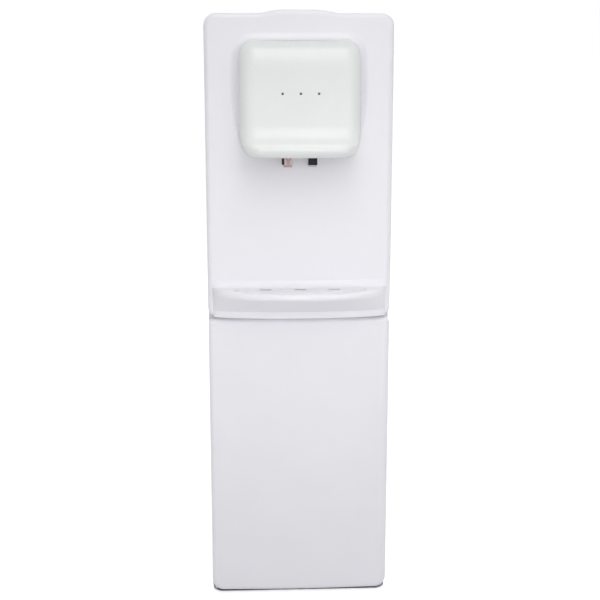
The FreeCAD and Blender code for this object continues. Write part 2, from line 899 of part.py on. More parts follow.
seat_top = dish_floor + seat_rim_thickness
bowl_foot = seat_top - seat_bowl_depth
throat_foot = bowl_foot - seat_throat_length
throat_radius = seat_throat_diameter / 2


def bottle_seat():
    bowl_radius = seat_hole_diameter / 2 - loose_fit
    return revolved([
        (seat_rim_diameter / 2, seat_top),
        (seat_rim_diameter / 2, dish_floor),
        (bowl_radius, dish_floor),
        (bowl_radius, dish_floor - wall),
        (throat_radius + seat_wall, bowl_foot - seat_wall),
        (throat_radius + seat_wall, throat_foot),
        (throat_radius - seat_wall, throat_foot),
        (throat_radius - seat_wall, throat_foot + seat_wall),
        (throat_radius, throat_foot + seat_wall),
        (throat_radius, bowl_foot),
        (bowl_radius - seat_wall, seat_top - seat_wall),
        (bowl_radius, seat_top),
    ])


def water_guard():
    """Hollow spike on three arms, standing in the throat of the bottle seat."""
    low = throat_foot + seat_wall
    radius = guard_diameter / 2
    tip = low + guard_rise
    spike = revolved([
        (guard_bore / 2, low),
        (radius, low),
        (radius, tip),
        (guard_bore, tip + guard_diameter / 2),
        (guard_bore / 2, tip + guard_diameter / 2),
    ])
    ring_radius = throat_radius - seat_gap
    ring = revolved([
        (ring_radius - seat_wall, low),
        (ring_radius, low),
        (ring_radius, low + guard_spoke),
        (ring_radius - seat_wall, low + guard_spoke),
    ])
    arms = []
    breadth = seat_wall / 2
    for i in range(guard_arms):
        arm = box(radius - breadth, ring_radius - breadth, -breadth, breadth, low, low + guard_spoke)
        arm.rotate(V(0, 0, 0), Z_AXIS, 360 / guard_arms * i)
        arm.translate(Y_AXIS * bottle_y)
        arms.append(arm)
    return fused([spike, ring] + arms)


def shelf(top, passages):
    """Sheet shelf with its sides turned down, and round passages for the pipes."""
    front = front_y + shelf_front
    plate = box(-inner_half, inner_half, front, inner_rear, top - sheet, top)
    sides = []
    for edge in (-inner_half, inner_half - sheet):
        sides.append(box(edge, edge + sheet, front, inner_rear, top - shelf_flange, top - sheet))
    tray = fused([plate] + sides)
    for x, y in passages:
        tray = tray.cut(rod(V(x, y, top - overrun), Z_AXIS, shelf_passage, 2 * overrun))
    return tray


def cabinet_liner():
    """Storage compartment, shallower at the foot where the compressor stands behind it."""
    def inside(inset, front):
        low_back = panel_front + liner_low_depth - inset
        high_back = panel_front + liner_high_depth - inset
        profile = [
            (front, liner_floor + inset, 0),
            (low_back, liner_floor + inset, 0),
            (low_back, liner_step_height + inset, 0),
            (high_back, liner_step_height + inset, 0),
            (high_back, liner_top - inset, 0),
            (front, liner_top - inset, 0),
        ]
        return prism(profile, on_side, -liner_half_width + inset, liner_half_width - inset)

    front = panel_front + sheet
    frame = box(
        -liner_half_width - liner_flange, liner_half_width + liner_flange, front, front + liner_wall,
        liner_floor - liner_flange, liner_top + liner_flange,
    )
    return fused([inside(0, front), frame]).cut(inside(liner_wall, front - overrun))


def door_catch():
    """Magnet block under the roof of the compartment, at the free side of the door."""
    x = liner_half_width - liner_wall - catch_width
    high = liner_top - liner_wall
    front = moulding_back + seat_gap
    return box(x, x + catch_width, front, front + catch_depth, high - catch_height, high)


def filleted_drum(start, diameter, length, radius, both_ends):
    """Upright drum with a rounded foot, and a rounded top where both ends are asked for."""
    drum = rod(start, Z_AXIS, diameter, length)
    middle = start.z + length / 2
    rims = [edge for edge in drum.Edges if edge.BoundBox.ZMax < middle]
    if both_ends:
        rims += [edge for edge in drum.Edges if edge.BoundBox.ZMin > middle]
    return drum.makeFillet(radius, rims)


def cold_tank():
    """Drawn steel cup with stubs for the hot feed, the drain and the cold tap."""
    foot = V(0, bottle_y, cold_tank_bottom)
    tank = filleted_drum(foot, cold_tank_diameter, cold_tank_height, tank_end_radius, False)
    inside = filleted_drum(
        foot + Z_AXIS * tank_wall, cold_tank_diameter - 2 * tank_wall, cold_tank_height,
        tank_end_radius - tank_wall, False,
    )
    down = insulation_floor + stub_length
    outward = cold_tank_diameter / 2 + insulation_thickness + stub_length
    axis = V(tap_places["cold"], bottle_y, tap_height)
    stubs = [(foot, -Z_AXIS, down), (foot + cold_drain, -Z_AXIS, down), (axis, -Y_AXIS, outward)]
    solids = [rod(start, direction, stub_diameter, length) for start, direction, length in stubs]
    tank = fused([tank] + solids).cut(inside)
    for start, direction, length in stubs:
        tank = tank.cut(rod(start - direction * 2 * tank_wall, direction, stub_bore, length + 2 * tank_wall))
    return tank


def baffle_plate():
    """Disc that keeps fresh water off the chilled water, with its down tube."""
    height = cold_tank_bottom + baffle_rise
    middle = V(0, bottle_y, height)
    diameter = cold_tank_diameter - 2 * tank_wall - 2 * seat_gap
    disc = rod(middle, Z_AXIS, diameter, baffle_thickness)
    bore = diameter - 2 * baffle_thickness
    skirt = tube(middle - Z_AXIS * baffle_skirt, Z_AXIS, diameter, bore, baffle_skirt)
    drop = baffle_rise / 2
    down = rod(middle - Z_AXIS * drop, Z_AXIS, baffle_tube_diameter, drop)
    plate = fused([disc, skirt, down])
    bore = baffle_tube_diameter - 2 * baffle_thickness
    return plate.cut(rod(middle - Z_AXIS * drop, Z_AXIS, bore, 2 * drop))


def evaporator_coil():
    """Tube wound round the tank in half turns, each a flat arc tilted to climb half a pitch."""
    radius = cold_tank_diameter / 2 + coil_tube_diameter / 2 + seat_gap
    start = V(0, bottle_y, tap_height + stub_diameter + coil_tube_diameter)
    climb = Z_AXIS * (coil_pitch / 4)
    reach = math.hypot(radius, climb.Length)
    arcs = []
    for half_turn in range(2 * coil_turns):
        side = -1 if half_turn % 2 else 1
        middle = start + climb * (2 * half_turn + 1)
        ends = [middle + X_AXIS * (side * radius) - climb, middle - X_AXIS * (side * radius) + climb]
        arcs.append(Part.Arc(ends[0], middle + Y_AXIS * (side * reach), ends[1]).toShape())
    section = Part.Wire(Part.makeCircle(coil_tube_diameter / 2, start + X_AXIS * radius, Y_AXIS))
    return Part.Wire(arcs).makePipeShell([section], True, False)


def cold_tank_insulation():
    foot = V(0, bottle_y, tank_shelf_top)
    outer = cold_tank_diameter + 2 * insulation_thickness
    cavity = cold_tank_diameter + 2 * coil_tube_diameter + 4 * seat_gap
    block = rod(foot, Z_AXIS, outer, insulation_floor + cold_tank_height)
    block = block.cut(rod(foot + Z_AXIS * insulation_floor, Z_AXIS, cavity, cold_tank_height))
    passage = stub_diameter + 2 * loose_fit
    for start in (foot, foot + cold_drain):
        block = block.cut(rod(start, Z_AXIS, passage, insulation_floor))
    return block.cut(rod(V(tap_places["cold"], bottle_y, tap_height), -Y_AXIS, passage, outer))


def hot_tank():
    """Closed steel drum with an outlet on top and the feed at its side."""
    foot = V(hot_tank_offset, hot_tank_y, hot_tank_bottom)
    tank = filleted_drum(foot, hot_tank_diameter, hot_tank_height, tank_end_radius, True)
    inside = filleted_drum(
        foot + Z_AXIS * tank_wall, hot_tank_diameter - 2 * tank_wall, hot_tank_height - 2 * tank_wall,
        tank_end_radius - tank_wall, True,
    )
    top = foot + Z_AXIS * (hot_tank_height - 2 * tank_wall)
    side = V(hot_tank_offset, hot_tank_y, hot_feed_height)
    outlet = rod(top, Z_AXIS, stub_diameter, stub_length + 2 * tank_wall)
    feed = rod(side, X_AXIS, stub_diameter, jacket_radius + stub_length)
    tank = fused([tank, outlet, feed]).cut(inside)
    tank = tank.cut(rod(top, Z_AXIS, stub_bore, stub_length + 2 * tank_wall))
    return tank.cut(rod(side, X_AXIS, stub_bore, jacket_radius + stub_length))


def heater_band():
    foot = V(hot_tank_offset, hot_tank_y, heater_bottom)
    outer = hot_tank_diameter + 2 * heater_thickness
    return tube(foot, Z_AXIS, outer, hot_tank_diameter + 2 * running_fit, heater_height)


def hot_tank_jacket():
    foot = V(hot_tank_offset, hot_tank_y, machine_shelf_top)
    height = jacket_floor + hot_tank_height + jacket_rise
    inner = 2 * (jacket_radius - jacket_thickness)
    jacket = rod(foot, Z_AXIS, 2 * jacket_radius, height)
    jacket = jacket.cut(rod(foot + Z_AXIS * jacket_floor, Z_AXIS, inner, height))
    side = V(hot_tank_offset, hot_tank_y, hot_feed_height)
    return jacket.cut(rod(side, X_AXIS, stub_diameter + 2 * loose_fit, 2 * jacket_radius))


def thermostats():
    discs = []
    for side in (-1, 1):
        place = V(hot_tank_offset + side * thermostat_spacing / 2, hot_tank_y, hot_tank_top)
        discs.append(rod(place, Z_AXIS, thermostat_diameter, thermostat_thickness))
    return Part.Compound(discs)


def cold_tap_hose():
    x = tap_places["cold"]
    tank_end = bottle_y - cold_tank_diameter / 2 - insulation_thickness - stub_length + hose_grip
    start = V(x, front_y + tap_tail_length, tap_height)
    return tube(start, Y_AXIS, hose_diameter, hose_bore, tank_end - start.y)


def hot_tap_hose():
    x = tap_places["hot"]
    tail = front_y + tap_tail_length
    rise_y = bottle_y - cold_tank_diameter / 2 - insulation_thickness - hose_diameter / 2 - 2 * seat_gap
    run_z = tank_shelf_top - shelf_flange - hose_diameter
    start = V(hot_tank_offset, hot_tank_y, hot_tank_top + stub_length - hose_grip)
    return hose([
        start,
        V(start.x, start.y, run_z),
        V(x, rise_y, run_z),
        V(x, rise_y, tap_height),
        V(x, tail, tap_height),
    ])


def hot_feed_hose():
    start = V(0, bottle_y, tank_shelf_top - stub_length + hose_grip)
    turn_x = hot_tank_offset + jacket_radius + hose_bend + stub_length
    end = V(hot_tank_offset + jacket_radius + stub_length - hose_grip, hot_tank_y, hot_feed_height)
    return hose([
        start,
        V(0, bottle_y, start.z - hose_bend),
        V(turn_x, bottle_y, start.z - 2 * hose_bend - hose_diameter),
        V(turn_x, hot_tank_y, end.z),
        end,
    ])


def drain_hose():
    start = cold_drain + V(0, bottle_y, tank_shelf_top - stub_length + hose_grip)
    end_y = rear_y - drain_length + hose_grip
    return hose([
        start,
        start - Z_AXIS * hose_bend,
        V(drain_offset, drain_hose_y, start.z - 3 * hose_bend),
        V(drain_offset, drain_hose_y, drain_height),
        V(drain_offset, end_y, drain_height),
    ])


def drain_spout():
    place = V(drain_offset, rear_y - drain_length, drain_height)
    inner = tube(place, Y_AXIS, hose_bore - 2 * running_fit, stub_bore, drain_length)
    flange = rod(V(drain_offset, rear_y, drain_height), Y_AXIS, drain_cap_diameter, wall)
    nozzle = rod(V(drain_offset, rear_y, drain_height), Y_AXIS, drain_diameter, drain_length)
    return fused([inner, flange, nozzle]).cut(rod(place, Y_AXIS, stub_bore, 2 * drain_length))


def drain_cap():
    start = V(drain_offset, rear_y + wall + seat_gap, drain_height)
    length = drain_length - wall - seat_gap
    cap = rod(start, Y_AXIS, drain_cap_diameter, length + seat_gap + wall)
    return cap.cut(rod(start, Y_AXIS, drain_diameter + 2 * running_fit, length + seat_gap))


compressor_y = (panel_front + liner_low_depth + inner_rear) / 2
compressor_foot = base_top + grommet_height


def oval(length, breadth, low, height):
    ellipse = Part.Ellipse(V(length / 2, 0, low), V(0, breadth / 2, low), V(0, 0, low)).toShape()
    block = Part.Face(Part.Wire(ellipse)).extrude(Z_AXIS * height)
    block.translate(V(compressor_offset, compressor_y, 0))
    return block


def compressor():
    """Welded shell with domed ends, its joint flange and its foot plate."""
    low = compressor_foot + compressor_plate
    shell = oval(compressor_length, compressor_width, low, compressor_height)
    rims = [edge for edge in shell.Edges if edge.BoundBox.ZLength < overrun]
    shell = shell.makeFillet(compressor_dome_radius, rims)
    seam_low = low + compressor_height / 2
    seam = oval(
        compressor_length + 2 * compressor_seam, compressor_width + 2 * compressor_seam,
        seam_low, compressor_seam,
    )
    plate = []
    for side_x, side_y in ((-1, -1), (1, -1), (1, 1), (-1, 1)):
        x = compressor_offset + side_x * compressor_foot_length / 2
        plate.append((x, compressor_y + side_y * compressor_foot_width / 2, grommet_diameter / 2))
    foot = prism(plate, on_plan, compressor_foot, low)
    neck = oval(compressor_length / 2, compressor_width / 2, compressor_foot, compressor_dome_radius)
    return fused([shell, seam, foot, neck])


def compressor_grommets():
    feet = []
    for side_x in (-1, 1):
        for side_y in (-1, 1):
            x = compressor_offset + side_x * (compressor_foot_length - grommet_diameter) / 2
            y = compressor_y + side_y * (compressor_foot_width - grommet_diameter) / 2
            feet.append(rod(V(x, y, base_top), Z_AXIS, grommet_diameter, grommet_height))
    return Part.Compound(feet)


def terminal_cover():
    inner = compressor_offset + compressor_length / 2 - terminal_depth / 2
    low = compressor_foot + compressor_plate + compressor_height / 2 + compressor_seam
    cover = box(
        inner, inner + terminal_depth, compressor_y - terminal_width / 2, compressor_y + terminal_width / 2,
        low, low + terminal_height,
    )
    outer = [edge for edge in cover.Edges if edge.BoundBox.XMin > inner]
    uprights = [edge for edge in outer if edge.BoundBox.ZLength > overrun]
    cover = cover.makeFillet(terminal_depth / 4, uprights)
    length = compressor_length + 2 * seat_gap
    breadth = compressor_width + 2 * seat_gap
    return cover.cut(oval(length, breadth, low - overrun, terminal_height + 2 * overrun))


wire_pitch = 2 * (condenser_half_width - wire_margin) / (wire_count - 1)
drier_y = inner_rear - drier_diameter
condenser_top = condenser_bottom + condenser_pitch * (condenser_passes - 1)


def wire_x(i):
    return -condenser_half_width + wire_margin + wire_pitch * i


def condenser_tube():
    """Serpentine on the back, with both its ends led in through the back panel."""
    left = -condenser_half_width
    points = [
        V(left, drier_y, condenser_bottom - condenser_pitch),
        V(left, drier_y, condenser_bottom),
        V(left, condenser_y, condenser_bottom),
    ]
    for i in range(condenser_passes):
        z = condenser_bottom + condenser_pitch * i
        ends = [V(left, condenser_y, z), V(-left, condenser_y, z)]
        if i % 2:
            ends.reverse()
        points += ends if i else ends[1:]
    points[-1] = V(return_x, condenser_y, condenser_top)
    points += [V(return_x, condenser_y, return_height), V(return_x, inner_rear, return_height)]
    return pipe(points, condenser_tube_diameter, condenser_pitch * bend_share)


compressor_top = compressor_foot + compressor_plate + compressor_height


def discharge_pipe():
    joint = V(compressor_offset + compressor_length / 4, compressor_y, compressor_top)
    return pipe([
        V(return_x, inner_rear, return_height),
        V(return_x, drier_y, return_height),
        V(return_x, drier_y, joint.z + pipe_rise),
        joint + Z_AXIS * pipe_rise,
        joint,
    ], condenser_tube_diameter, pipe_bend)


def condenser_wires():
    wires = []
    offset = (condenser_tube_diameter + wire_diameter) / 2
    length = condenser_top - condenser_bottom + 2 * wire_overhang
    for i in range(wire_count):
        y = condenser_y - offset if i % 2 else condenser_y + offset
        wires.append(rod(V(wire_x(i), y, condenser_bottom - wire_overhang), Z_AXIS, wire_diameter, length))
    return Part.Compound(wires)


def condenser_brackets():
    """Bent strips from the back panel, each under one pass of the serpentine."""
    strips = []
    reach = bracket_width / 2
    for i in (bracket_wire, wire_count - 1 - bracket_wire):
        for row in (bracket_pass, condenser_passes - 1 - bracket_pass):
            x = wire_x(i)
            top = condenser_bottom + condenser_pitch * row - condenser_tube_diameter / 2
            arm = box(x - reach, x + reach, rear_y, condenser_y, top - bracket_thickness, top)
            foot = box(x - reach, x + reach, rear_y, rear_y + bracket_thickness, top - bracket_foot, top)
            strips.append(fused([arm, foot]))
    return Part.Compound(strips)


def filter_drier():
    top = condenser_bottom - condenser_pitch
    return filleted_drum(
        V(-condenser_half_width, drier_y, top - drier_length), drier_diameter, drier_length,
        drier_diameter / 3, True,
    )


def suction_pipe():
    start = V(compressor_offset - compressor_length / 4, compressor_y, compressor_top)
    inward = V(-riser_x, bottle_y - riser_y, 0)
    run = inward.Length - cold_tank_diameter / 2 - insulation_thickness - seat_gap
    inward.normalize()
    riser_top = V(riser_x, riser_y, suction_height)
    return pipe([
        start,
        start + Z_AXIS * pipe_rise,
        V(riser_x, riser_y, start.z + pipe_rise),
        riser_top,
        riser_top + inward * run,
    ], pipe_diameter, pipe_bend)


pivot_y = rear_y - switch_wall


def switch_housing(x):
    """Snap-in housing with a bezel outside the back and a well for the rocker."""
    def block(grow, start, end):
        side = switch_width / 2 + grow
        rise = switch_height / 2 + grow
        return box(x - side, x + side, start, end, switch_row_height - rise, switch_row_height + rise)

    bezel = block(switch_bezel, rear_y, rear_y + switch_wall)
    body = block(0, rear_y - switch_depth, rear_y)
    housing = fused([bezel, body]).cut(block(-switch_wall, rear_y - switch_depth / 2, rear_y + overrun))
    pivot = V(x - switch_width, pivot_y, switch_row_height)
    return housing.cut(rod(pivot, X_AXIS, rocker_pin_diameter + 2 * running_fit, 2 * switch_width))


def switch_rocker(x):
    """Rocker with a dished face, at rest with its lower end out."""
    side = switch_width / 2 - switch_wall - seat_gap
    rise = switch_height / 2 - switch_wall - 2 * seat_gap
    profile = [
        (pivot_y, switch_row_height + rise, 0),
        (pivot_y - rocker_depth, switch_row_height, 0),
        (pivot_y, switch_row_height - rise, 0),
        (pivot_y + rocker_depth - switch_wall, switch_row_height - rise, switch_wall / 2),
        (pivot_y + rocker_depth / 2, switch_row_height, 0),
        (pivot_y + rocker_depth - switch_wall, switch_row_height + rise, switch_wall / 2),
    ]
    pin_reach = switch_width / 2 - seat_gap
    pin = rod(V(x - pin_reach, pivot_y, switch_row_height), X_AXIS, rocker_pin_diameter, 2 * pin_reach)
    rocker = fused([prism(profile, on_side, x - side, x + side), pin])
    rocker.rotate(V(x, pivot_y, switch_row_height), X_AXIS, switch_tilt)
    return rocker


def mains_inlet():
    """Round gland in the back; its bore is where the lead would pass."""
    place = V(switch_offset, rear_y, gland_height)
    body = rod(place - Y_AXIS * gland_length / 2, Y_AXIS, gland_diameter, gland_length)
    flange = rod(place, Y_AXIS, gland_flange, wall)
    return fused([body, flange]).cut(rod(place - Y_AXIS * gland_length, Y_AXIS, gland_bore, 2 * gland_length))


os.makedirs("parts", exist_ok=True)
save("upper_front_panel", upper_front_panel())
save("head_cover", head_cover())
save("drip_tray", drip_tray())
save("drip_tray_cover", drip_tray_cover())
save("indicator_lenses", indicator_lenses())
save("indicator_board", indicator_board())
save("hot_tap_body", hot_tap_body())
save("hot_tap_lever", tap_lever(tap_places["hot"]))
save("hot_tap_lock", hot_tap_lock())
save("cold_tap_body", tap_body(tap_places["cold"]))
save("cold_tap_lever", tap_lever(tap_places["cold"]))
save("tap_nuts", tap_nuts())
save("cabinet_door", cabinet_door())
save("door_liner", door_liner())
save("door_hinge_pins", door_hinge_pins())
save("base_plate", base_plate())
save("levelling_feet", levelling_feet())
save("right_side_panel", right_side_panel())
save("left_side_panel", mirrored(right_side_panel()))
save("rear_panel", rear_panel())
save("top_cover", top_cover())
save("bottle_seat", bottle_seat())
save("water_guard", water_guard())
save("tank_shelf", shelf(tank_shelf_top, tank_shelf_passages))
save("machine_shelf", shelf(machine_shelf_top, machine_shelf_passages))
save("cabinet_liner", cabinet_liner())
save("door_catch", door_catch())
save("cold_tank", cold_tank())
save("baffle_plate", baffle_plate())
save("evaporator_coil", evaporator_coil())
save("cold_tank_insulation", cold_tank_insulation())
save("hot_tank", hot_tank())
save("heater_band", heater_band())
save("hot_tank_jacket", hot_tank_jacket())
save("thermostats", thermostats())
save("cold_tap_hose", cold_tap_hose())
save("hot_tap_hose", hot_tap_hose())
save("hot_feed_hose", hot_feed_hose())
save("drain_hose", drain_hose())
save("drain_spout", drain_spout())
save("drain_cap", drain_cap())
save("compressor", compressor())
save("compressor_grommets", compressor_grommets())
save("terminal_cover", terminal_cover())
save("condenser_tube", condenser_tube())
save("discharge_pipe", discharge_pipe())
save("condenser_wires", condenser_wires())
save("condenser_brackets", condenser_brackets())
save("filter_drier", filter_drier())
save("suction_pipe", suction_pipe())
for name, place in switch_places.items():
    save(name + "_switch_housing", switch_housing(place))
    save(name + "_switch_rocker", switch_rocker(place))
save("mains_inlet", mains_inlet())
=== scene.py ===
import json
import math

import bmesh
import bpy
from mathutils import Matrix, Vector


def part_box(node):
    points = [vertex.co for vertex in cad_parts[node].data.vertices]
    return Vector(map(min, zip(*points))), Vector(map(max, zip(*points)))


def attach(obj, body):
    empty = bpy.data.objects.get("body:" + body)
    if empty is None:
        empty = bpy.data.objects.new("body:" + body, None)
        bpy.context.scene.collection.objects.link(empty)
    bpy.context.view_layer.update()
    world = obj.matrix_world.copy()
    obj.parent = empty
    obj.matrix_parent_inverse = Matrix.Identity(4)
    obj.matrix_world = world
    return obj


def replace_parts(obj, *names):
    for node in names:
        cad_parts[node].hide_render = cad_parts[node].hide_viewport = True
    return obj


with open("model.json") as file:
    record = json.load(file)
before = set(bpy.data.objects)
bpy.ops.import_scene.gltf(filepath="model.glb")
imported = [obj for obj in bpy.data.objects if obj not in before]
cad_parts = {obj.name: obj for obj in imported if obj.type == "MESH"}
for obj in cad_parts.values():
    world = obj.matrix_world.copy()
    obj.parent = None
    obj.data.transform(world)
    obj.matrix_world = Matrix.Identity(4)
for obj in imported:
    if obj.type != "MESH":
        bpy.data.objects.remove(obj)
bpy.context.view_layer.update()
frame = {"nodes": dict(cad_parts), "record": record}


def linear(hex_colour):
    """An sRGB hex colour as the linear RGBA that a shader socket takes."""
    channels = [int(hex_colour[i:i + 2], 16) / 255 for i in (1, 3, 5)]
    return [c / 12.92 if c <= 0.04045 else ((c + 0.055) / 1.055) ** 2.4 for c in channels] + [1]


def per_metre(millimetres):
    """Texture scale for a pattern whose features are this many millimetres across."""
    return 1000 / millimetres


def add(tree, kind, sockets=None, **settings):
    """Adds one node: its settings, then each input as a value or as the output that feeds it."""
    made = tree.nodes.new(kind)
    for name, value in settings.items():
        setattr(made, name, value)
    for name, value in (sockets or {}).items():
        if isinstance(value, bpy.types.NodeSocket):
            tree.links.new(value, made.inputs[name])
        else:
            made.inputs[name].default_value = value
    return made


# Sockets of a Mix node for colours, whose names are shared with its other kinds
MIX_FIRST, MIX_SECOND, MIX_RESULT = 6, 7, 2


def finish_named(name):
    """A new material with its tree, its surface shader and the piece's own coordinates in metres."""
    material = bpy.data.materials.new(name)
    material.use_nodes = True
    tree = material.node_tree
    surface = tree.nodes["Principled BSDF"]
    place = add(tree, "ShaderNodeTexCoord").outputs["Object"]
    return material, tree, surface, place


def moulded_abs(name, first, second, gloss, shine=0.5):
    """Injection-moulded ABS. The skin copies the mould's fine spark-eroded surface, its colour has the
    faint cloud of the melt's flow, and it sinks a little over thick parts, so highlights swim."""
    material, tree, surface, place = finish_named(name)
    flow = add(tree, "ShaderNodeTexNoise", {"Vector": place, "Scale": per_metre(85), "Detail": 3})
    # The real pits are about a tenth as wide, too fine to show
    pits = add(tree, "ShaderNodeTexNoise", {"Vector": place, "Scale": per_metre(0.7), "Detail": 2})
    sink = add(tree, "ShaderNodeTexNoise", {"Vector": place, "Scale": per_metre(70), "Detail": 1})
    tint = {"Factor": flow.outputs["Fac"], MIX_FIRST: linear(first), MIX_SECOND: linear(second)}
    colour = add(tree, "ShaderNodeMix", tint, data_type="RGBA")
    tree.links.new(colour.outputs[MIX_RESULT], surface.inputs["Base Color"])
    spread = {"Value": pits.outputs["Fac"], "To Min": gloss - 0.05, "To Max": gloss + 0.07}
    tree.links.new(add(tree, "ShaderNodeMapRange", spread).outputs["Result"], surface.inputs["Roughness"])
    wave = add(tree, "ShaderNodeBump", {"Height": sink.outputs["Fac"], "Strength": 0.15, "Distance": 0.0004})
    relief = {"Height": pits.outputs["Fac"], "Strength": 0.4, "Distance": 0.00001}
    skin = add(tree, "ShaderNodeBump", {**relief, "Normal": wave.outputs["Normal"]})
    tree.links.new(skin.outputs["Normal"], surface.inputs["Normal"])
    surface.inputs["IOR"].default_value = 1.54
    surface.inputs["Specular IOR Level"].default_value = shine
    return material


def powder_coated_steel(name, first, second):
    """Pressed sheet steel under baked powder: a satin white with the shallow orange peel of melted grains."""
    material, tree, surface, place = finish_named(name)
    cloud = add(tree, "ShaderNodeTexNoise", {"Vector": place, "Scale": per_metre(120), "Detail": 2})
    peel = add(tree, "ShaderNodeTexNoise", {"Vector": place, "Scale": per_metre(2.2), "Detail": 2})
    tint = {"Factor": cloud.outputs["Fac"], MIX_FIRST: linear(first), MIX_SECOND: linear(second)}
    colour = add(tree, "ShaderNodeMix", tint, data_type="RGBA")
    tree.links.new(colour.outputs[MIX_RESULT], surface.inputs["Base Color"])
    spread = {"Value": peel.outputs["Fac"], "To Min": 0.34, "To Max": 0.48}
    tree.links.new(add(tree, "ShaderNodeMapRange", spread).outputs["Result"], surface.inputs["Roughness"])
    skin = add(tree, "ShaderNodeBump", {"Height": peel.outputs["Fac"], "Strength": 0.5, "Distance": 0.00006})
    tree.links.new(skin.outputs["Normal"], surface.inputs["Normal"])
    surface.inputs["IOR"].default_value = 1.5
    return material


def galvanised_steel(name):
    """Hot-dipped zinc on sheet steel: frozen crystal flowers, each with its own grey and its own gloss."""
    material, tree, surface, place = finish_named(name)
    flowers = add(tree, "ShaderNodeTexVoronoi", {"Vector": place, "Scale": per_metre(9), "Randomness": 1})
    tone = add(tree, "ShaderNodeSeparateColor", {"Color": flowers.outputs["Color"]})
    fern = add(tree, "ShaderNodeTexNoise", {"Vector": place, "Scale": per_metre(2), "Detail": 4})
    tint = {"Factor": tone.outputs["Red"], MIX_FIRST: linear("#AEB2B5"), MIX_SECOND: linear("#C9CCCE")}
    colour = add(tree, "ShaderNodeMix", tint, data_type="RGBA")
    tree.links.new(colour.outputs[MIX_RESULT], surface.inputs["Base Color"])
    spread = {"Value": tone.outputs["Green"], "To Min": 0.3, "To Max": 0.48}
    tree.links.new(add(tree, "ShaderNodeMapRange", spread).outputs["Result"], surface.inputs["Roughness"])
    skin = add(tree, "ShaderNodeBump", {"Height": fern.outputs["Fac"], "Strength": 0.25, "Distance": 0.00005})
    tree.links.new(skin.outputs["Normal"], surface.inputs["Normal"])
    surface.inputs["Metallic"].default_value = 1
    return material


def drawn_metal(name, bright, dull, gloss, streak, along):
    """Metal drawn through a die: fine scratches along the draw, under a patchy film of handling and heat."""
    material, tree, surface, place = finish_named(name)
    # The real scratches are hundredths of a millimetre wide, so streaks of them are drawn
    drawn = add(tree, "ShaderNodeMapping", {"Vector": place, "Scale": along}).outputs["Vector"]
    lines = add(tree, "ShaderNodeTexNoise", {"Vector": drawn, "Scale": per_metre(streak), "Detail": 3})
    film = add(tree, "ShaderNodeTexNoise", {"Vector": place, "Scale": per_metre(26), "Detail": 4})
    tint = {"Factor": film.outputs["Fac"], MIX_FIRST: linear(dull), MIX_SECOND: linear(bright)}
    colour = add(tree, "ShaderNodeMix", tint, data_type="RGBA")
    tree.links.new(colour.outputs[MIX_RESULT], surface.inputs["Base Color"])
    spread = {"Value": lines.outputs["Fac"], "To Min": gloss - 0.08, "To Max": gloss + 0.12}
    tree.links.new(add(tree, "ShaderNodeMapRange", spread).outputs["Result"], surface.inputs["Roughness"])
    skin = add(tree, "ShaderNodeBump", {"Height": lines.outputs["Fac"], "Strength": 0.3, "Distance": 0.00003})
    tree.links.new(skin.outputs["Normal"], surface.inputs["Normal"])
    surface.inputs["Metallic"].default_value = 1
    return material


def black_stove_enamel(name):
    """Dipped and baked black paint: deep gloss with runs and peel, under a thin grey film of settled dust."""
    material, tree, surface, place = finish_named(name)
    peel = add(tree, "ShaderNodeTexNoise", {"Vector": place, "Scale": per_metre(3), "Detail": 2})
    dust = add(tree, "ShaderNodeTexNoise", {"Vector": place, "Scale": per_metre(30), "Detail": 5})
    tint = {"Factor": dust.outputs["Fac"], MIX_FIRST: linear("#121214"), MIX_SECOND: linear("#26262A")}
    colour = add(tree, "ShaderNodeMix", tint, data_type="RGBA")
    tree.links.new(colour.outputs[MIX_RESULT], surface.inputs["Base Color"])
    spread = {"Value": dust.outputs["Fac"], "To Min": 0.22, "To Max": 0.5}
    tree.links.new(add(tree, "ShaderNodeMapRange", spread).outputs["Result"], surface.inputs["Roughness"])
    skin = add(tree, "ShaderNodeBump", {"Height": peel.outputs["Fac"], "Strength": 0.4, "Distance": 0.00012})
    tree.links.new(skin.outputs["Normal"], surface.inputs["Normal"])
    surface.inputs["IOR"].default_value = 1.5
    return material


def moulded_rubber(name, first, second):
    """Black moulded rubber: dull, with the grey bloom that rises to its skin and a sandy mould texture."""
    material, tree, surface, place = finish_named(name)
    bloom = add(tree, "ShaderNodeTexNoise", {"Vector": place, "Scale": per_metre(14), "Detail": 4})
    # The real grit is about a quarter as wide, too fine to show
    sand = add(tree, "ShaderNodeTexNoise", {"Vector": place, "Scale": per_metre(0.8), "Detail": 2})
    tint = {"Factor": bloom.outputs["Fac"], MIX_FIRST: linear(first), MIX_SECOND: linear(second)}
    colour = add(tree, "ShaderNodeMix", tint, data_type="RGBA")
    tree.links.new(colour.outputs[MIX_RESULT], surface.inputs["Base Color"])
    spread = {"Value": bloom.outputs["Fac"], "To Min": 0.62, "To Max": 0.85}
    tree.links.new(add(tree, "ShaderNodeMapRange", spread).outputs["Result"], surface.inputs["Roughness"])
    skin = add(tree, "ShaderNodeBump", {"Height": sand.outputs["Fac"], "Strength": 0.5, "Distance": 0.00008})
    tree.links.new(skin.outputs["Normal"], surface.inputs["Normal"])
    surface.inputs["IOR"].default_value = 1.52
    return material


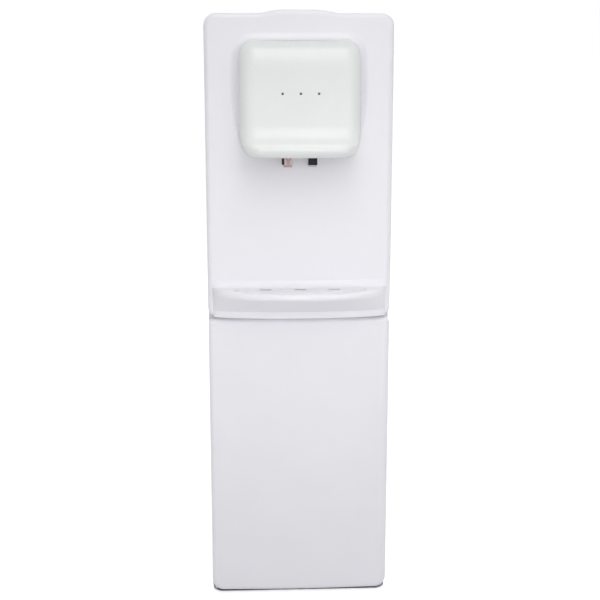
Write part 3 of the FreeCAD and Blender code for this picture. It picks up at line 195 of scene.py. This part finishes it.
def extruded_silicone(name):
    """Extruded food-grade silicone: milky, with a satin skin that light sinks a few millimetres into."""
    material, tree, surface, place = finish_named(name)
    haze = add(tree, "ShaderNodeTexNoise", {"Vector": place, "Scale": per_metre(18), "Detail": 3})
    tint = {"Factor": haze.outputs["Fac"], MIX_FIRST: linear("#DAD9D3"), MIX_SECOND: linear("#EAE9E4")}
    colour = add(tree, "ShaderNodeMix", tint, data_type="RGBA")
    tree.links.new(colour.outputs[MIX_RESULT], surface.inputs["Base Color"])
    spread = {"Value": haze.outputs["Fac"], "To Min": 0.36, "To Max": 0.52}
    tree.links.new(add(tree, "ShaderNodeMapRange", spread).outputs["Result"], surface.inputs["Roughness"])
    surface.inputs["IOR"].default_value = 1.41
    surface.inputs["Subsurface Weight"].default_value = 0.35
    surface.inputs["Subsurface Radius"].default_value = (0.003, 0.003, 0.0027)
    return material


def expanded_bead_foam(name):
    """Expanded polystyrene: pressed beads, each a soft facet with a crease round it, the crease darkened in
    colour as painted shade.
    """
    material, tree, surface, place = finish_named(name)
    packing = {"Vector": place, "Scale": per_metre(4)}
    beads = add(tree, "ShaderNodeTexVoronoi", packing, feature="DISTANCE_TO_EDGE")
    crease = add(tree, "ShaderNodeMapRange", {"Value": beads.outputs["Distance"], "From Max": 0.12})
    # The colour darkens towards each bead's edge: this is painted shade in the creases between the beads
    tint = {"Factor": crease.outputs["Result"], MIX_FIRST: linear("#CFCEC8"), MIX_SECOND: linear("#F1F0EB")}
    colour = add(tree, "ShaderNodeMix", tint, data_type="RGBA")
    tree.links.new(colour.outputs[MIX_RESULT], surface.inputs["Base Color"])
    relief = {"Height": crease.outputs["Result"], "Strength": 0.7, "Distance": 0.0003}
    skin = add(tree, "ShaderNodeBump", relief)
    tree.links.new(skin.outputs["Normal"], surface.inputs["Normal"])
    surface.inputs["Roughness"].default_value = 0.85
    surface.inputs["IOR"].default_value = 1.3
    return material


def smoked_polycarbonate(name):
    """Polished smoked polycarbonate: almost black and glassy, with a faint cloud of painted glow standing for
    the lamp behind it.
    """
    material, tree, surface, place = finish_named(name)
    cloud = add(tree, "ShaderNodeTexNoise", {"Vector": place, "Scale": per_metre(1.5), "Detail": 2})
    # The lighter patches of this tint are painted glow from the lamp behind the lens, not a lamp
    tint = {"Factor": cloud.outputs["Fac"], MIX_FIRST: linear("#131316"), MIX_SECOND: linear("#26262B")}
    colour = add(tree, "ShaderNodeMix", tint, data_type="RGBA")
    tree.links.new(colour.outputs[MIX_RESULT], surface.inputs["Base Color"])
    surface.inputs["Roughness"].default_value = 0.2
    surface.inputs["IOR"].default_value = 1.45
    return material


def green_glass_laminate(name):
    """Glass-cloth circuit laminate under green resist: the weave shows through as a fine check."""
    material, tree, surface, place = finish_named(name)
    # The real threads lie about half as far apart, too fine to show
    threads = {"Color1": linear("#1F5F38"), "Color2": linear("#2A7044")}
    weave = add(tree, "ShaderNodeTexChecker", {**threads, "Vector": place, "Scale": per_metre(0.9)})
    tree.links.new(weave.outputs["Color"], surface.inputs["Base Color"])
    skin = add(tree, "ShaderNodeBump", {"Height": weave.outputs["Fac"], "Strength": 0.2, "Distance": 0.00004})
    tree.links.new(skin.outputs["Normal"], surface.inputs["Normal"])
    surface.inputs["Roughness"].default_value = 0.32
    surface.inputs["IOR"].default_value = 1.55
    return material


finishes = {
    "white_abs": moulded_abs("white_moulded_abs", "#EAE9EE", "#EFEEF3", 0.36),
    "head_white_abs": moulded_abs("gloss_moulded_abs", "#E2E5E3", "#E8EBE9", 0.26),
    "white_coated_sheet": powder_coated_steel("white_powder_coated_steel", "#E6E6EA", "#ECECF0"),
    "zinc_sheet": galvanised_steel("galvanised_steel"),
    "stainless_steel": drawn_metal("drawn_stainless_steel", "#D2D1CE", "#B4B3B0", 0.3, 1.2, (1, 1, 0.06)),
    "copper": drawn_metal("drawn_copper_tube", "#C98560", "#8F5A42", 0.32, 1.5, (0.1, 1, 1)),
    "black_enamel": black_stove_enamel("black_stove_enamel"),
    "black_rubber": moulded_rubber("black_moulded_rubber", "#161617", "#29292A"),
    "black_abs": moulded_abs("black_moulded_abs", "#121215", "#1B1B1F", 0.5, shine=0.2),
    "pale_grey_abs": moulded_abs("pale_grey_moulded_abs", "#C9C9CD", "#D6D6DA", 0.38),
    "rose_abs": moulded_abs("rose_moulded_abs", "#BE8F90", "#CDA3A3", 0.36),
    "red_abs": moulded_abs("red_moulded_abs", "#A9221B", "#BC2F27", 0.34),
    "blue_abs": moulded_abs("blue_moulded_abs", "#1C4794", "#2756A6", 0.34),
    "silicone": extruded_silicone("extruded_silicone"),
    "foam": expanded_bead_foam("expanded_bead_foam"),
    "smoked_lens": smoked_polycarbonate("smoked_polycarbonate"),
    "circuit_board": green_glass_laminate("green_glass_laminate"),
}

for subpart in frame["record"]["subparts"]:
    mesh = frame["nodes"][subpart["node"]].data
    mesh.materials.clear()
    mesh.materials.append(finishes[subpart["material_slot"]])


def bridged(skin, rings):
    """Faces between each closed ring of corners and the next."""
    for ring, following in zip(rings, rings[1:]):
        for i in range(len(ring)):
            j = (i + 1) % len(ring)
            skin.faces.new([ring[i], ring[j], following[j], following[i]])


def turned(profile, sides=32):
    """A skin turned about Z from (radius, height) corners; a corner at radius 0 is a pole."""
    skin = bmesh.new()
    rings = []
    for radius, height in profile:
        angles = [2 * math.pi * i / sides for i in range(sides if radius else 1)]
        rings.append([skin.verts.new((radius * math.cos(a), radius * math.sin(a), height)) for a in angles])
    for low, high in zip(rings, rings[1:]):
        for i in range(sides):
            j = (i + 1) % sides
            corners = [low[i % len(low)], low[j % len(low)], high[j % len(high)], high[i % len(high)]]
            skin.faces.new(list(dict.fromkeys(corners)))
    return skin


def as_mesh(name, skin):
    """The finished skin as a mesh, closed where its ends meet, with its sharp edges kept crisp."""
    weld, crisp = 0.000002, math.radians(40)
    bmesh.ops.remove_doubles(skin, verts=skin.verts, dist=weld)
    bmesh.ops.recalc_face_normals(skin, faces=skin.faces)
    mesh = bpy.data.meshes.new(name)
    skin.to_mesh(mesh)
    skin.free()
    mesh.shade_smooth()
    mesh.set_sharp_from_angle(angle=crisp)
    return mesh


def set_out(name, mesh, places):
    """Copies of one small mesh at several places, joined as one mesh."""
    joined = bmesh.new()
    for place in places:
        copy = mesh.copy()
        copy.transform(place)
        joined.from_mesh(copy)
        bpy.data.meshes.remove(copy)
    bpy.data.meshes.remove(mesh)
    return as_mesh(name, joined)


def prisms(name, outlines, low, high):
    """Upright blocks between two heights, one for each plan outline, joined as one mesh."""
    skin = bmesh.new()
    for outline in outlines:
        foot, head = [[skin.verts.new((x, y, z)) for x, y in outline] for z in (low, high)]
        skin.faces.new(foot)
        skin.faces.new(head)
        bridged(skin, [foot, head])
    return as_mesh(name, skin)


def raised_plate(name, outline, front, thickness):
    """A flat plate standing on a front face, its outline given as (x, z) places on the front elevation."""
    plate = prisms(name, [outline], -front, thickness - front)
    plate.transform(Matrix.Rotation(math.pi / 2, 4, "X"))
    return plate


def arc(x, y, radius, start, end, steps=10):
    """Points along a circle between two angles in degrees."""
    angles = [math.radians(start + (end - start) * i / steps) for i in range(steps + 1)]
    return [(x + radius * math.cos(a), y + radius * math.sin(a)) for a in angles]


def carved(mesh, cutter):
    """A mesh with another taken out of it."""
    held = [bpy.data.objects.new(part.name, part) for part in (mesh, cutter)]
    for part in held:
        bpy.context.scene.collection.objects.link(part)
    cut = held[0].modifiers.new("cut", "BOOLEAN")
    cut.object = held[1]
    bpy.context.view_layer.update()
    result = bpy.data.meshes.new_from_object(held[0].evaluated_get(bpy.context.evaluated_depsgraph_get()))
    for part, source in zip(held, (mesh, cutter)):
        bpy.data.objects.remove(part)
        bpy.data.meshes.remove(source)
    return result


def surface_ahead(node, x, z):
    """The front surface of a CAD node at this place on the front elevation."""
    graph = bpy.context.evaluated_depsgraph_get()
    return frame["nodes"][node].ray_cast((x, -1, z), (0, 1, 0), depsgraph=graph)[1].y


def fit_piece(mesh, body, slot):
    """Puts a finished mesh in the scene, riding on its body and in its slot's finish."""
    mesh.materials.clear()
    mesh.materials.append(finishes[slot])
    piece = bpy.data.objects.new(mesh.name, mesh)
    bpy.context.scene.collection.objects.link(piece)
    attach(piece, body)
    return piece


def screw_head():
    """Pan head with a tapered cross recess, its seat at Z = 0."""
    radius = 0.0036
    dome = [(0, 0), (1, 0), (1, 0.16), (0.95, 0.3), (0.8, 0.44), (0.55, 0.54), (0.28, 0.585), (0, 0.6)]
    head = as_mesh("screw_head", turned([(radius * r, radius * z) for r, z in dome]))
    arm, web = 0.62 * radius, 0.15 * radius
    cross = [(arm, -web), (arm, web), (web, web), (web, arm), (-web, arm), (-web, web),
             (-arm, web), (-arm, -web), (-web, -web), (-web, -arm), (web, -arm), (web, -web)]
    skin = bmesh.new()
    rings = []
    for height, share in ((0.12 * radius, 0.5), (0.7 * radius, 1.04)):
        rings.append([skin.verts.new((x * share, y * share, height)) for x, y in cross])
    bridged(skin, rings)
    for ring in rings:
        skin.faces.new(ring)
    return carved(head, as_mesh("cross_recess", skin))


BACKWARD = Matrix.Rotation(-math.pi / 2, 4, "X")


def screws_at(name, body, spots):
    """Screws driven forward into a rear face, at (x, z, y) places, each stopped at its own angle."""
    stop = 0.7
    places = []
    for i, (x, z, y) in enumerate(spots):
        twist = Matrix.Rotation(stop * i, 4, "Z")
        places.append(Matrix.Translation((x, y, z)) @ BACKWARD @ twist)
    fit_piece(set_out(name, screw_head(), places), body, "zinc_sheet")


def rear_screws():
    """Screws round the back panel, in the top cover's skirt and in the condenser brackets' feet."""
    low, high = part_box("rear_panel")
    back, skirt = high.y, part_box("top_cover")[0].z
    edge_inset, first, pitch, rows = 0.0065, 0.03, 0.152, 7
    skirt_run, skirt_rise = 0.118, 0.017
    foot_run, foot_rise = 0.075, 0.012
    sides = (low.x + edge_inset, high.x - edge_inset)
    spots = [(x, low.z + first + pitch * i, back) for x in sides for i in range(rows)]
    spots += [(x, skirt + skirt_rise, back) for x in (-skirt_run, 0, skirt_run)]
    spots += [(x, low.z + foot_rise, back) for x in (-foot_run, foot_run)]
    near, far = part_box("condenser_brackets")
    strip, strip_foot, gauge = 0.01, 0.022, 0.0015
    for x in (near.x + strip / 2, far.x - strip / 2):
        spots += [(x, z + strip_foot / 3, back + gauge) for z in (near.z, far.z - strip_foot)]
    screws_at("rear_screws", "cabinet", spots)


def door_screws():
    """Screws that hold the inner skin of the door, inside the line of its seal."""
    low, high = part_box("door_liner")
    hinge_inset, catch_inset, end_inset = 0.026, 0.03, 0.032
    sides = (low.x + hinge_inset, high.x - catch_inset)
    levels = (low.z + end_inset, (low.z + high.z) / 2, high.z - end_inset)
    screws_at("door_screws", "door", [(x, z, high.y) for x in sides for z in levels])


def louvre_hoods():
    """Pressed hoods over the vent slots: quarter rounds with rounded ends, open below."""
    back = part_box("rear_panel")[1].y
    length, radius, lap, sheet = 0.096, 0.006, 0.001, 0.0008
    pitch, bottom, gap, slots = 0.013, 0.062, 0.012, 7
    half_run = length / 2 - radius + lap
    turns, rises = 8, 6
    skin = bmesh.new()
    rows = []
    for level in range(rises + 1):
        rise = math.pi / 2 * level / rises
        row = []
        for run, start in ((-half_run, 0), (half_run, turns)):
            for step in range(turns + 1):
                swing = math.pi / 2 * (start + step) / turns
                x = run - radius * math.cos(rise) * math.cos(swing)
                y = radius * math.cos(rise) * math.sin(swing)
                row.append(skin.verts.new((x, y, radius * math.sin(rise))))
        rows.append(row)
    for low, high in zip(rows, rows[1:]):
        for i in range(len(low) - 1):
            skin.faces.new([low[i], low[i + 1], high[i + 1], high[i]])
    places = []
    for side in (-1, 1):
        for row in range(slots):
            x = side * (length + 2 * gap) / 2
            places.append(Matrix.Translation((x, back, bottom + pitch * row)))
    hoods = set_out("louvre_hoods", as_mesh("louvre_hood", skin), places)
    gauge = fit_piece(hoods, "cabinet", "white_coated_sheet").modifiers.new("gauge", "SOLIDIFY")
    gauge.thickness = sheet
    gauge.offset = -1


def rocker_marks():
    """Line and ring moulded on each switch rocker, the generic marks for on and off."""
    root, rise, reach = -0.0002, 0.00025, 0.0042
    outer, inner, stroke, stretch = 0.0021, 0.0015, 0.0005, 4
    ring = [(outer, root), (outer, rise), (inner, rise), (inner, root), (outer, root)]
    line = [(0, root), (stroke, root), (stroke, rise), (0, rise)]
    graph = bpy.context.evaluated_depsgraph_get()
    for name in ("hot", "cold"):
        node = frame["nodes"][name + "_switch_rocker"]
        low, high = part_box(name + "_switch_rocker")
        middle = (low + high) / 2
        marks = bmesh.new()
        for offset, shape in ((reach, line), (-reach, ring)):
            behind = (middle.x, 1, middle.z + offset)
            point, normal = node.ray_cast(behind, (0, -1, 0), depsgraph=graph)[1:3]
            mark = as_mesh("mark", turned(shape, sides=24))
            if shape is line:
                mark.transform(Matrix.Diagonal((1, stretch, 1, 1)))
            mark.transform(Matrix.Translation(point) @ normal.to_track_quat("Z", "Y").to_matrix().to_4x4())
            marks.from_mesh(mark)
            bpy.data.meshes.remove(mark)
        fit_piece(as_mesh(name + "_rocker_marks", marks), name + "_rocker", "pale_grey_abs")


def drain_cap_ribs():
    """Round finger ribs along the drain cap, tapering out at both ends."""
    low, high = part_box("drain_cap")
    middle = (low + high) / 2
    count, inset, bury, rib_radius = 20, 0.002, 0.0001, 0.0007
    radius = (high.x - low.x) / 2 - bury
    run = high.y - low.y - 2 * inset
    stations = [(0, 0), (0.1, 0.6), (0.25, 1), (0.75, 1), (0.9, 0.6), (1, 0)]
    rib = as_mesh("rib", turned([(rib_radius * grow, run * share) for share, grow in stations], sides=10))
    places = []
    for i in range(count):
        around = Matrix.Rotation(2 * math.pi * i / count, 4, "Y")
        start = Matrix.Translation((middle.x, low.y + inset, middle.z))
        places.append(start @ around @ Matrix.Translation((radius, 0, 0)) @ BACKWARD)
    fit_piece(set_out("drain_cap_ribs", rib, places), "cap", "black_abs")


def door_seal():
    """Soft lipped seal round the inner skin of the door, clear of the cabinet's front edge."""
    low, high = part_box("door_liner")
    hinge_inset, catch_inset, end_inset = 0.006, 0.01, 0.012
    radius, steps = 0.012, 8
    left, right = low.x + hinge_inset + radius, high.x - catch_inset - radius
    foot, top = low.z + end_inset + radius, high.z - end_inset - radius
    corners = [(right, top), (left, top), (left, foot), (right, foot)]
    # Across the seal and out from the door: a soft bulb on one side, a thin lip on the other
    section = [(-0.0055, 0), (-0.0055, 0.0012), (-0.0035, 0.0028), (-0.001, 0.0034), (0.0012, 0.0031),
               (0.0022, 0.0019), (0.0034, 0.0014), (0.0046, 0.0016), (0.0055, 0.0008), (0.0055, 0)]
    skin = bmesh.new()
    rings = []
    for quarter, (x, z) in enumerate(corners):
        for step in range(steps + 1):
            angle = math.pi / 2 * (quarter + step / steps)
            out = Vector((math.cos(angle), 0, math.sin(angle)))
            bend = Vector((x, high.y, z)) + out * radius
            ring = [bend + out * across + Vector((0, lift, 0)) for across, lift in section]
            rings.append([skin.verts.new(corner) for corner in ring])
    bridged(skin, rings + rings[:1])
    fit_piece(as_mesh("door_seal", skin), "door", "silicone")


def neck_ring():
    """Soft ring in the bottle seat that the neck presses on."""
    low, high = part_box("bottle_seat")
    middle = (low + high) / 2
    bend, section, sink = 0.0345, 0.0022, 0.0245
    ring = as_mesh("neck_ring", turned(arc(bend, 0, section, 0, 360, steps=12), sides=64))
    ring.transform(Matrix.Translation((middle.x, middle.y, high.z - sink)))
    fit_piece(ring, "seat", "silicone")


def rounded_base_plate():
    """The base with its two front corners sheared round, so that the door's foot hides them."""
    low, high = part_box("base_plate")
    radius, spare = 0.019, 0.01
    side, front = high.x + spare, low.y - spare
    right = arc(high.x - radius, low.y + radius, radius, -90, 0)
    right += [(side, low.y + radius), (side, front), (high.x - radius, front)]
    corners = [right, [(-x, y) for x, y in right]]
    cutter = prisms("sheared_corners", corners, low.z - spare, high.z + spare)
    plate = carved(frame["nodes"]["base_plate"].data.copy(), cutter)
    plate.name = "rounded_base_plate"
    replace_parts(fit_piece(plate, "cabinet", "zinc_sheet"), "base_plate")


def slotted_tray_cover():
    """The tray's cover with its three drain slots opened to the width a finger can wipe."""
    low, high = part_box("drip_tray_cover")
    half_run, radius, pitch, back, spare = 0.0065, 0.004, 0.057, 0.0065, 0.002
    y = high.y - back
    slots = []
    for x in (-pitch, 0, pitch):
        slots.append(arc(x + half_run, y, radius, -90, 90) + arc(x - half_run, y, radius, 90, 270))
    cutter = prisms("drain_slots", slots, low.z - spare, high.z + spare)
    cover = carved(frame["nodes"]["drip_tray_cover"].data.copy(), cutter)
    cover.name = "slotted_tray_cover"
    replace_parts(fit_piece(cover, "tray_cover", "white_abs"), "drip_tray_cover")


def head_root():
    """Root of the head on the panel, from one foot over the top to the other, in millimetres: half width,
    rise above the head's foot, then how far the fillet there reaches over the panel and up the head."""
    half_width, top, squareness = 101, 185, 3.9
    corner_width, corner_rise, corner_steps = 41, 54, 9
    top_reach, top_height, side_swell = 13, 12, 9
    # Up a side: rise, how far the side is drawn in there, reach and height
    side = [(26, 1.4, 1.5, 2), (36, 0.6, 4, 6), (50, 0.1, 8, 12),
            (66, 0, 11, 17), (90, 0, 13, 21), (112, 0, 14, 22)]
    half = [(half_width - drawn_in, rise, reach, height) for rise, drawn_in, reach, height in side]
    for step in range(corner_steps + 1):
        turn = math.pi / 2 * step / corner_steps
        x = half_width - corner_width * (1 - math.cos(turn) ** (2 / squareness))
        z = top - corner_rise * (1 - math.sin(turn) ** (2 / squareness))
        ease = max(0, 1 - 2 * step / corner_steps) ** 2
        half.append((x, z, top_reach + ease, top_height + side_swell * ease))
    half.append(((half_width - corner_width) / 2, top, top_reach, top_height))
    return [(-x, *rest) for x, *rest in half] + [(0, top, top_reach, top_height)] + half[::-1]


def head_fillet():
    """Hollow curve where the panel rises into the head, full round its top and dying out down its sides."""
    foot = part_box("head_cover")[0].z
    root = head_root()
    steps, bury, draft = 10, 0.4, 0.0875
    skin = bmesh.new()
    rings = []
    for i, (x, z, reach, height) in enumerate(root):
        before, after = root[max(i - 1, 0)], root[min(i + 1, len(root) - 1)]
        run = Vector((after[0] - before[0], after[1] - before[1])).normalized()
        out = Vector((-run.y, run.x))
        section = []
        for step in range(steps + 1):
            turn = math.pi / 2 * step / steps
            away = reach * (1 - math.sin(turn)) - (bury + draft * height) * step / steps
            depth = height * (1 - math.cos(turn)) - bury * (1 - step / steps)
            section.append((away, depth))
        section += [(-2 * bury - draft * height, height), (-2 * bury, -3 * bury), (reach, -3 * bury)]
        ring = []
        for away, depth in section:
            across, level = (x + out.x * away) / 1000, foot + (z + out.y * away) / 1000
            front = surface_ahead("upper_front_panel", across, level) - depth / 1000
            ring.append(skin.verts.new((across, front, level)))
        rings.append(ring)
    bridged(skin, rings)
    for end in (rings[0], rings[-1]):
        skin.faces.new(end)
    fit_piece(as_mesh("head_fillet", skin), "cabinet", "white_abs")


def hot_spout_trim():
    """Rose fork on the hot spout's face and a dark guard strip down its outer side."""
    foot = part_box("head_cover")[0].z
    near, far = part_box("hot_tap_body")
    spout_half, tip_rise = 0.007, 0.004
    middle = (near.x + far.x) / 2
    front = surface_ahead("hot_tap_body", middle, near.z + tip_rise)
    low, eased, bury = -0.0135, 0.0004, 0.0004
    fork_top, fork_thickness = 0.004, 0.0016
    guard_top, guard_width, guard_lap = 0.006, 0.0037, 0.0003
    guard_set_back, guard_depth = 0.0112, 0.0106
    prong = [(0.0022, low), (0.0024, -0.0075), (0.0066, -0.0015),
             (0.0066, fork_top), (0.0036, fork_top), (0.0036, -0.0005)]
    fork = prong + [(0, -0.0042)] + [(-x, z) for x, z in prong[::-1]]
    outline = [(middle + x, foot + z) for x, z in fork]
    plate = raised_plate("hot_spout_fork", outline, front + bury, fork_thickness)
    inner = middle - spout_half + guard_lap
    outer = inner - guard_width
    strip = [(outer, foot + low), (inner, foot + low), (inner, foot + guard_top), (outer, foot + guard_top)]
    guard = raised_plate("hot_spout_guard", strip, front + guard_set_back, guard_depth)
    for mesh, slot in ((plate, "rose_abs"), (guard, "black_abs")):
        edge = fit_piece(mesh, "cabinet", slot).modifiers.new("edge", "BEVEL")
        edge.width = eased
        edge.segments = 2


def seen_rays(tree):
    """1 for rays by which the lens, a gloss or a clear piece sees the studio, 0 for the light it sheds."""
    path = add(tree, "ShaderNodeLightPath")
    seen = path.outputs["Is Camera Ray"]
    for kind in ("Is Glossy Ray", "Is Transmission Ray"):
        either = {0: seen, 1: path.outputs[kind]}
        seen = add(tree, "ShaderNodeMath", either, operation="MAXIMUM").outputs[0]
    return seen


def studio_floor():
    """Pale paper floor that glows a little to the lens, so that it is white and keeps a soft shadow."""
    reach, glow = 40, 0.6
    corners = [(-reach, -reach, 0), (reach, -reach, 0), (reach, reach, 0), (-reach, reach, 0)]
    sheet = bpy.data.meshes.new("floor")
    sheet.from_pydata(corners, [], [(0, 1, 2, 3)])
    floor = bpy.data.objects.new("floor", sheet)
    bpy.context.scene.collection.objects.link(floor)
    paper = bpy.data.materials.new("pale_paper_floor")
    paper.use_nodes = True
    sheet.materials.append(paper)
    tree = paper.node_tree
    matt = tree.nodes["Principled BSDF"]
    matt.inputs["Base Color"].default_value = linear("#E6E6E8")
    matt.inputs["Roughness"].default_value = 0.9
    matt.inputs["Specular IOR Level"].default_value = 0.1
    lift = add(tree, "ShaderNodeMath", {0: seen_rays(tree), 1: glow}, operation="MULTIPLY")
    white = add(tree, "ShaderNodeEmission", {"Strength": lift.outputs[0]})
    both = add(tree, "ShaderNodeAddShader", {0: matt.outputs["BSDF"], 1: white.outputs["Emission"]})
    tree.links.new(both.outputs["Shader"], tree.nodes["Material Output"].inputs["Surface"])


def studio_walls():
    """Surroundings that are white to the lens and to mirrors, and about half as bright as a light."""
    world = bpy.data.worlds.new("studio")
    world.use_nodes = True
    bpy.context.scene.world = world
    tree = world.node_tree
    wall = tree.nodes["Background"]
    wall.inputs["Color"].default_value = linear("#FFFFFF")
    level = add(tree, "ShaderNodeMapRange", {"Value": seen_rays(tree), "To Min": 0.52, "To Max": 1})
    tree.links.new(level.outputs["Result"], wall.inputs["Strength"])


def studio_lamps():
    """Soft square lamps: name, place, aim, side in metres, watts and spread of the face."""
    open_face, grid = math.pi, 0.6
    for name, place, aim, size, power, spread in (
        ("key", (0.75, -1.45, 1.25), (0, -0.1, 0.62), 1.0, 2.8, open_face),
        ("fill", (-0.95, -1.45, 0.75), (0, -0.1, 0.58), 1.1, 1.7, open_face),
        ("overhead", (0.1, -1.3, 3.8), (0, -0.1, 0.6), 1.4, 14, open_face),
        ("front_overhead", (0.1, -2.6, 3.2), (0, -0.1, 0.6), 1.6, 18, open_face),
        ("front", (0.15, -1.9, 0.8), (0, -0.1, 0.56), 0.4, 0.23, grid),
        ("rear", (0.6, 2.4, 1.6), (0, 0, 0.5), 1.6, 22, open_face),
    ):
        lamp = bpy.data.lights.new(name, "AREA")
        lamp.size = size
        lamp.energy = power
        lamp.spread = spread
        holder = bpy.data.objects.new(name, lamp)
        holder.location = place
        holder.rotation_euler = (Vector(aim) - Vector(place)).to_track_quat("-Z", "Y").to_euler()
        holder.visible_camera = False
        bpy.context.scene.collection.objects.link(holder)


def camera():
    """Eye at about the top of the cabinet, two metres out and a little to its left, looking down."""
    dip, turn = 12.873, -2.624
    lens = bpy.data.cameras.new("camera")
    lens.sensor_width = 36
    lens.lens = 72.185
    holder = bpy.data.objects.new("camera", lens)
    holder.location = (-0.0901, -2.0839, 0.9956)
    holder.rotation_euler = (math.radians(90 - dip), 0, math.radians(turn))
    bpy.context.scene.collection.objects.link(holder)
    bpy.context.scene.camera = holder


rear_screws()
door_screws()
louvre_hoods()
rocker_marks()
drain_cap_ribs()
door_seal()
neck_ring()
rounded_base_plate()
slotted_tray_cover()
head_fillet()
hot_spout_trim()
studio_floor()
studio_walls()
studio_lamps()
camera()
bpy.context.scene.view_settings.view_transform = "Standard"
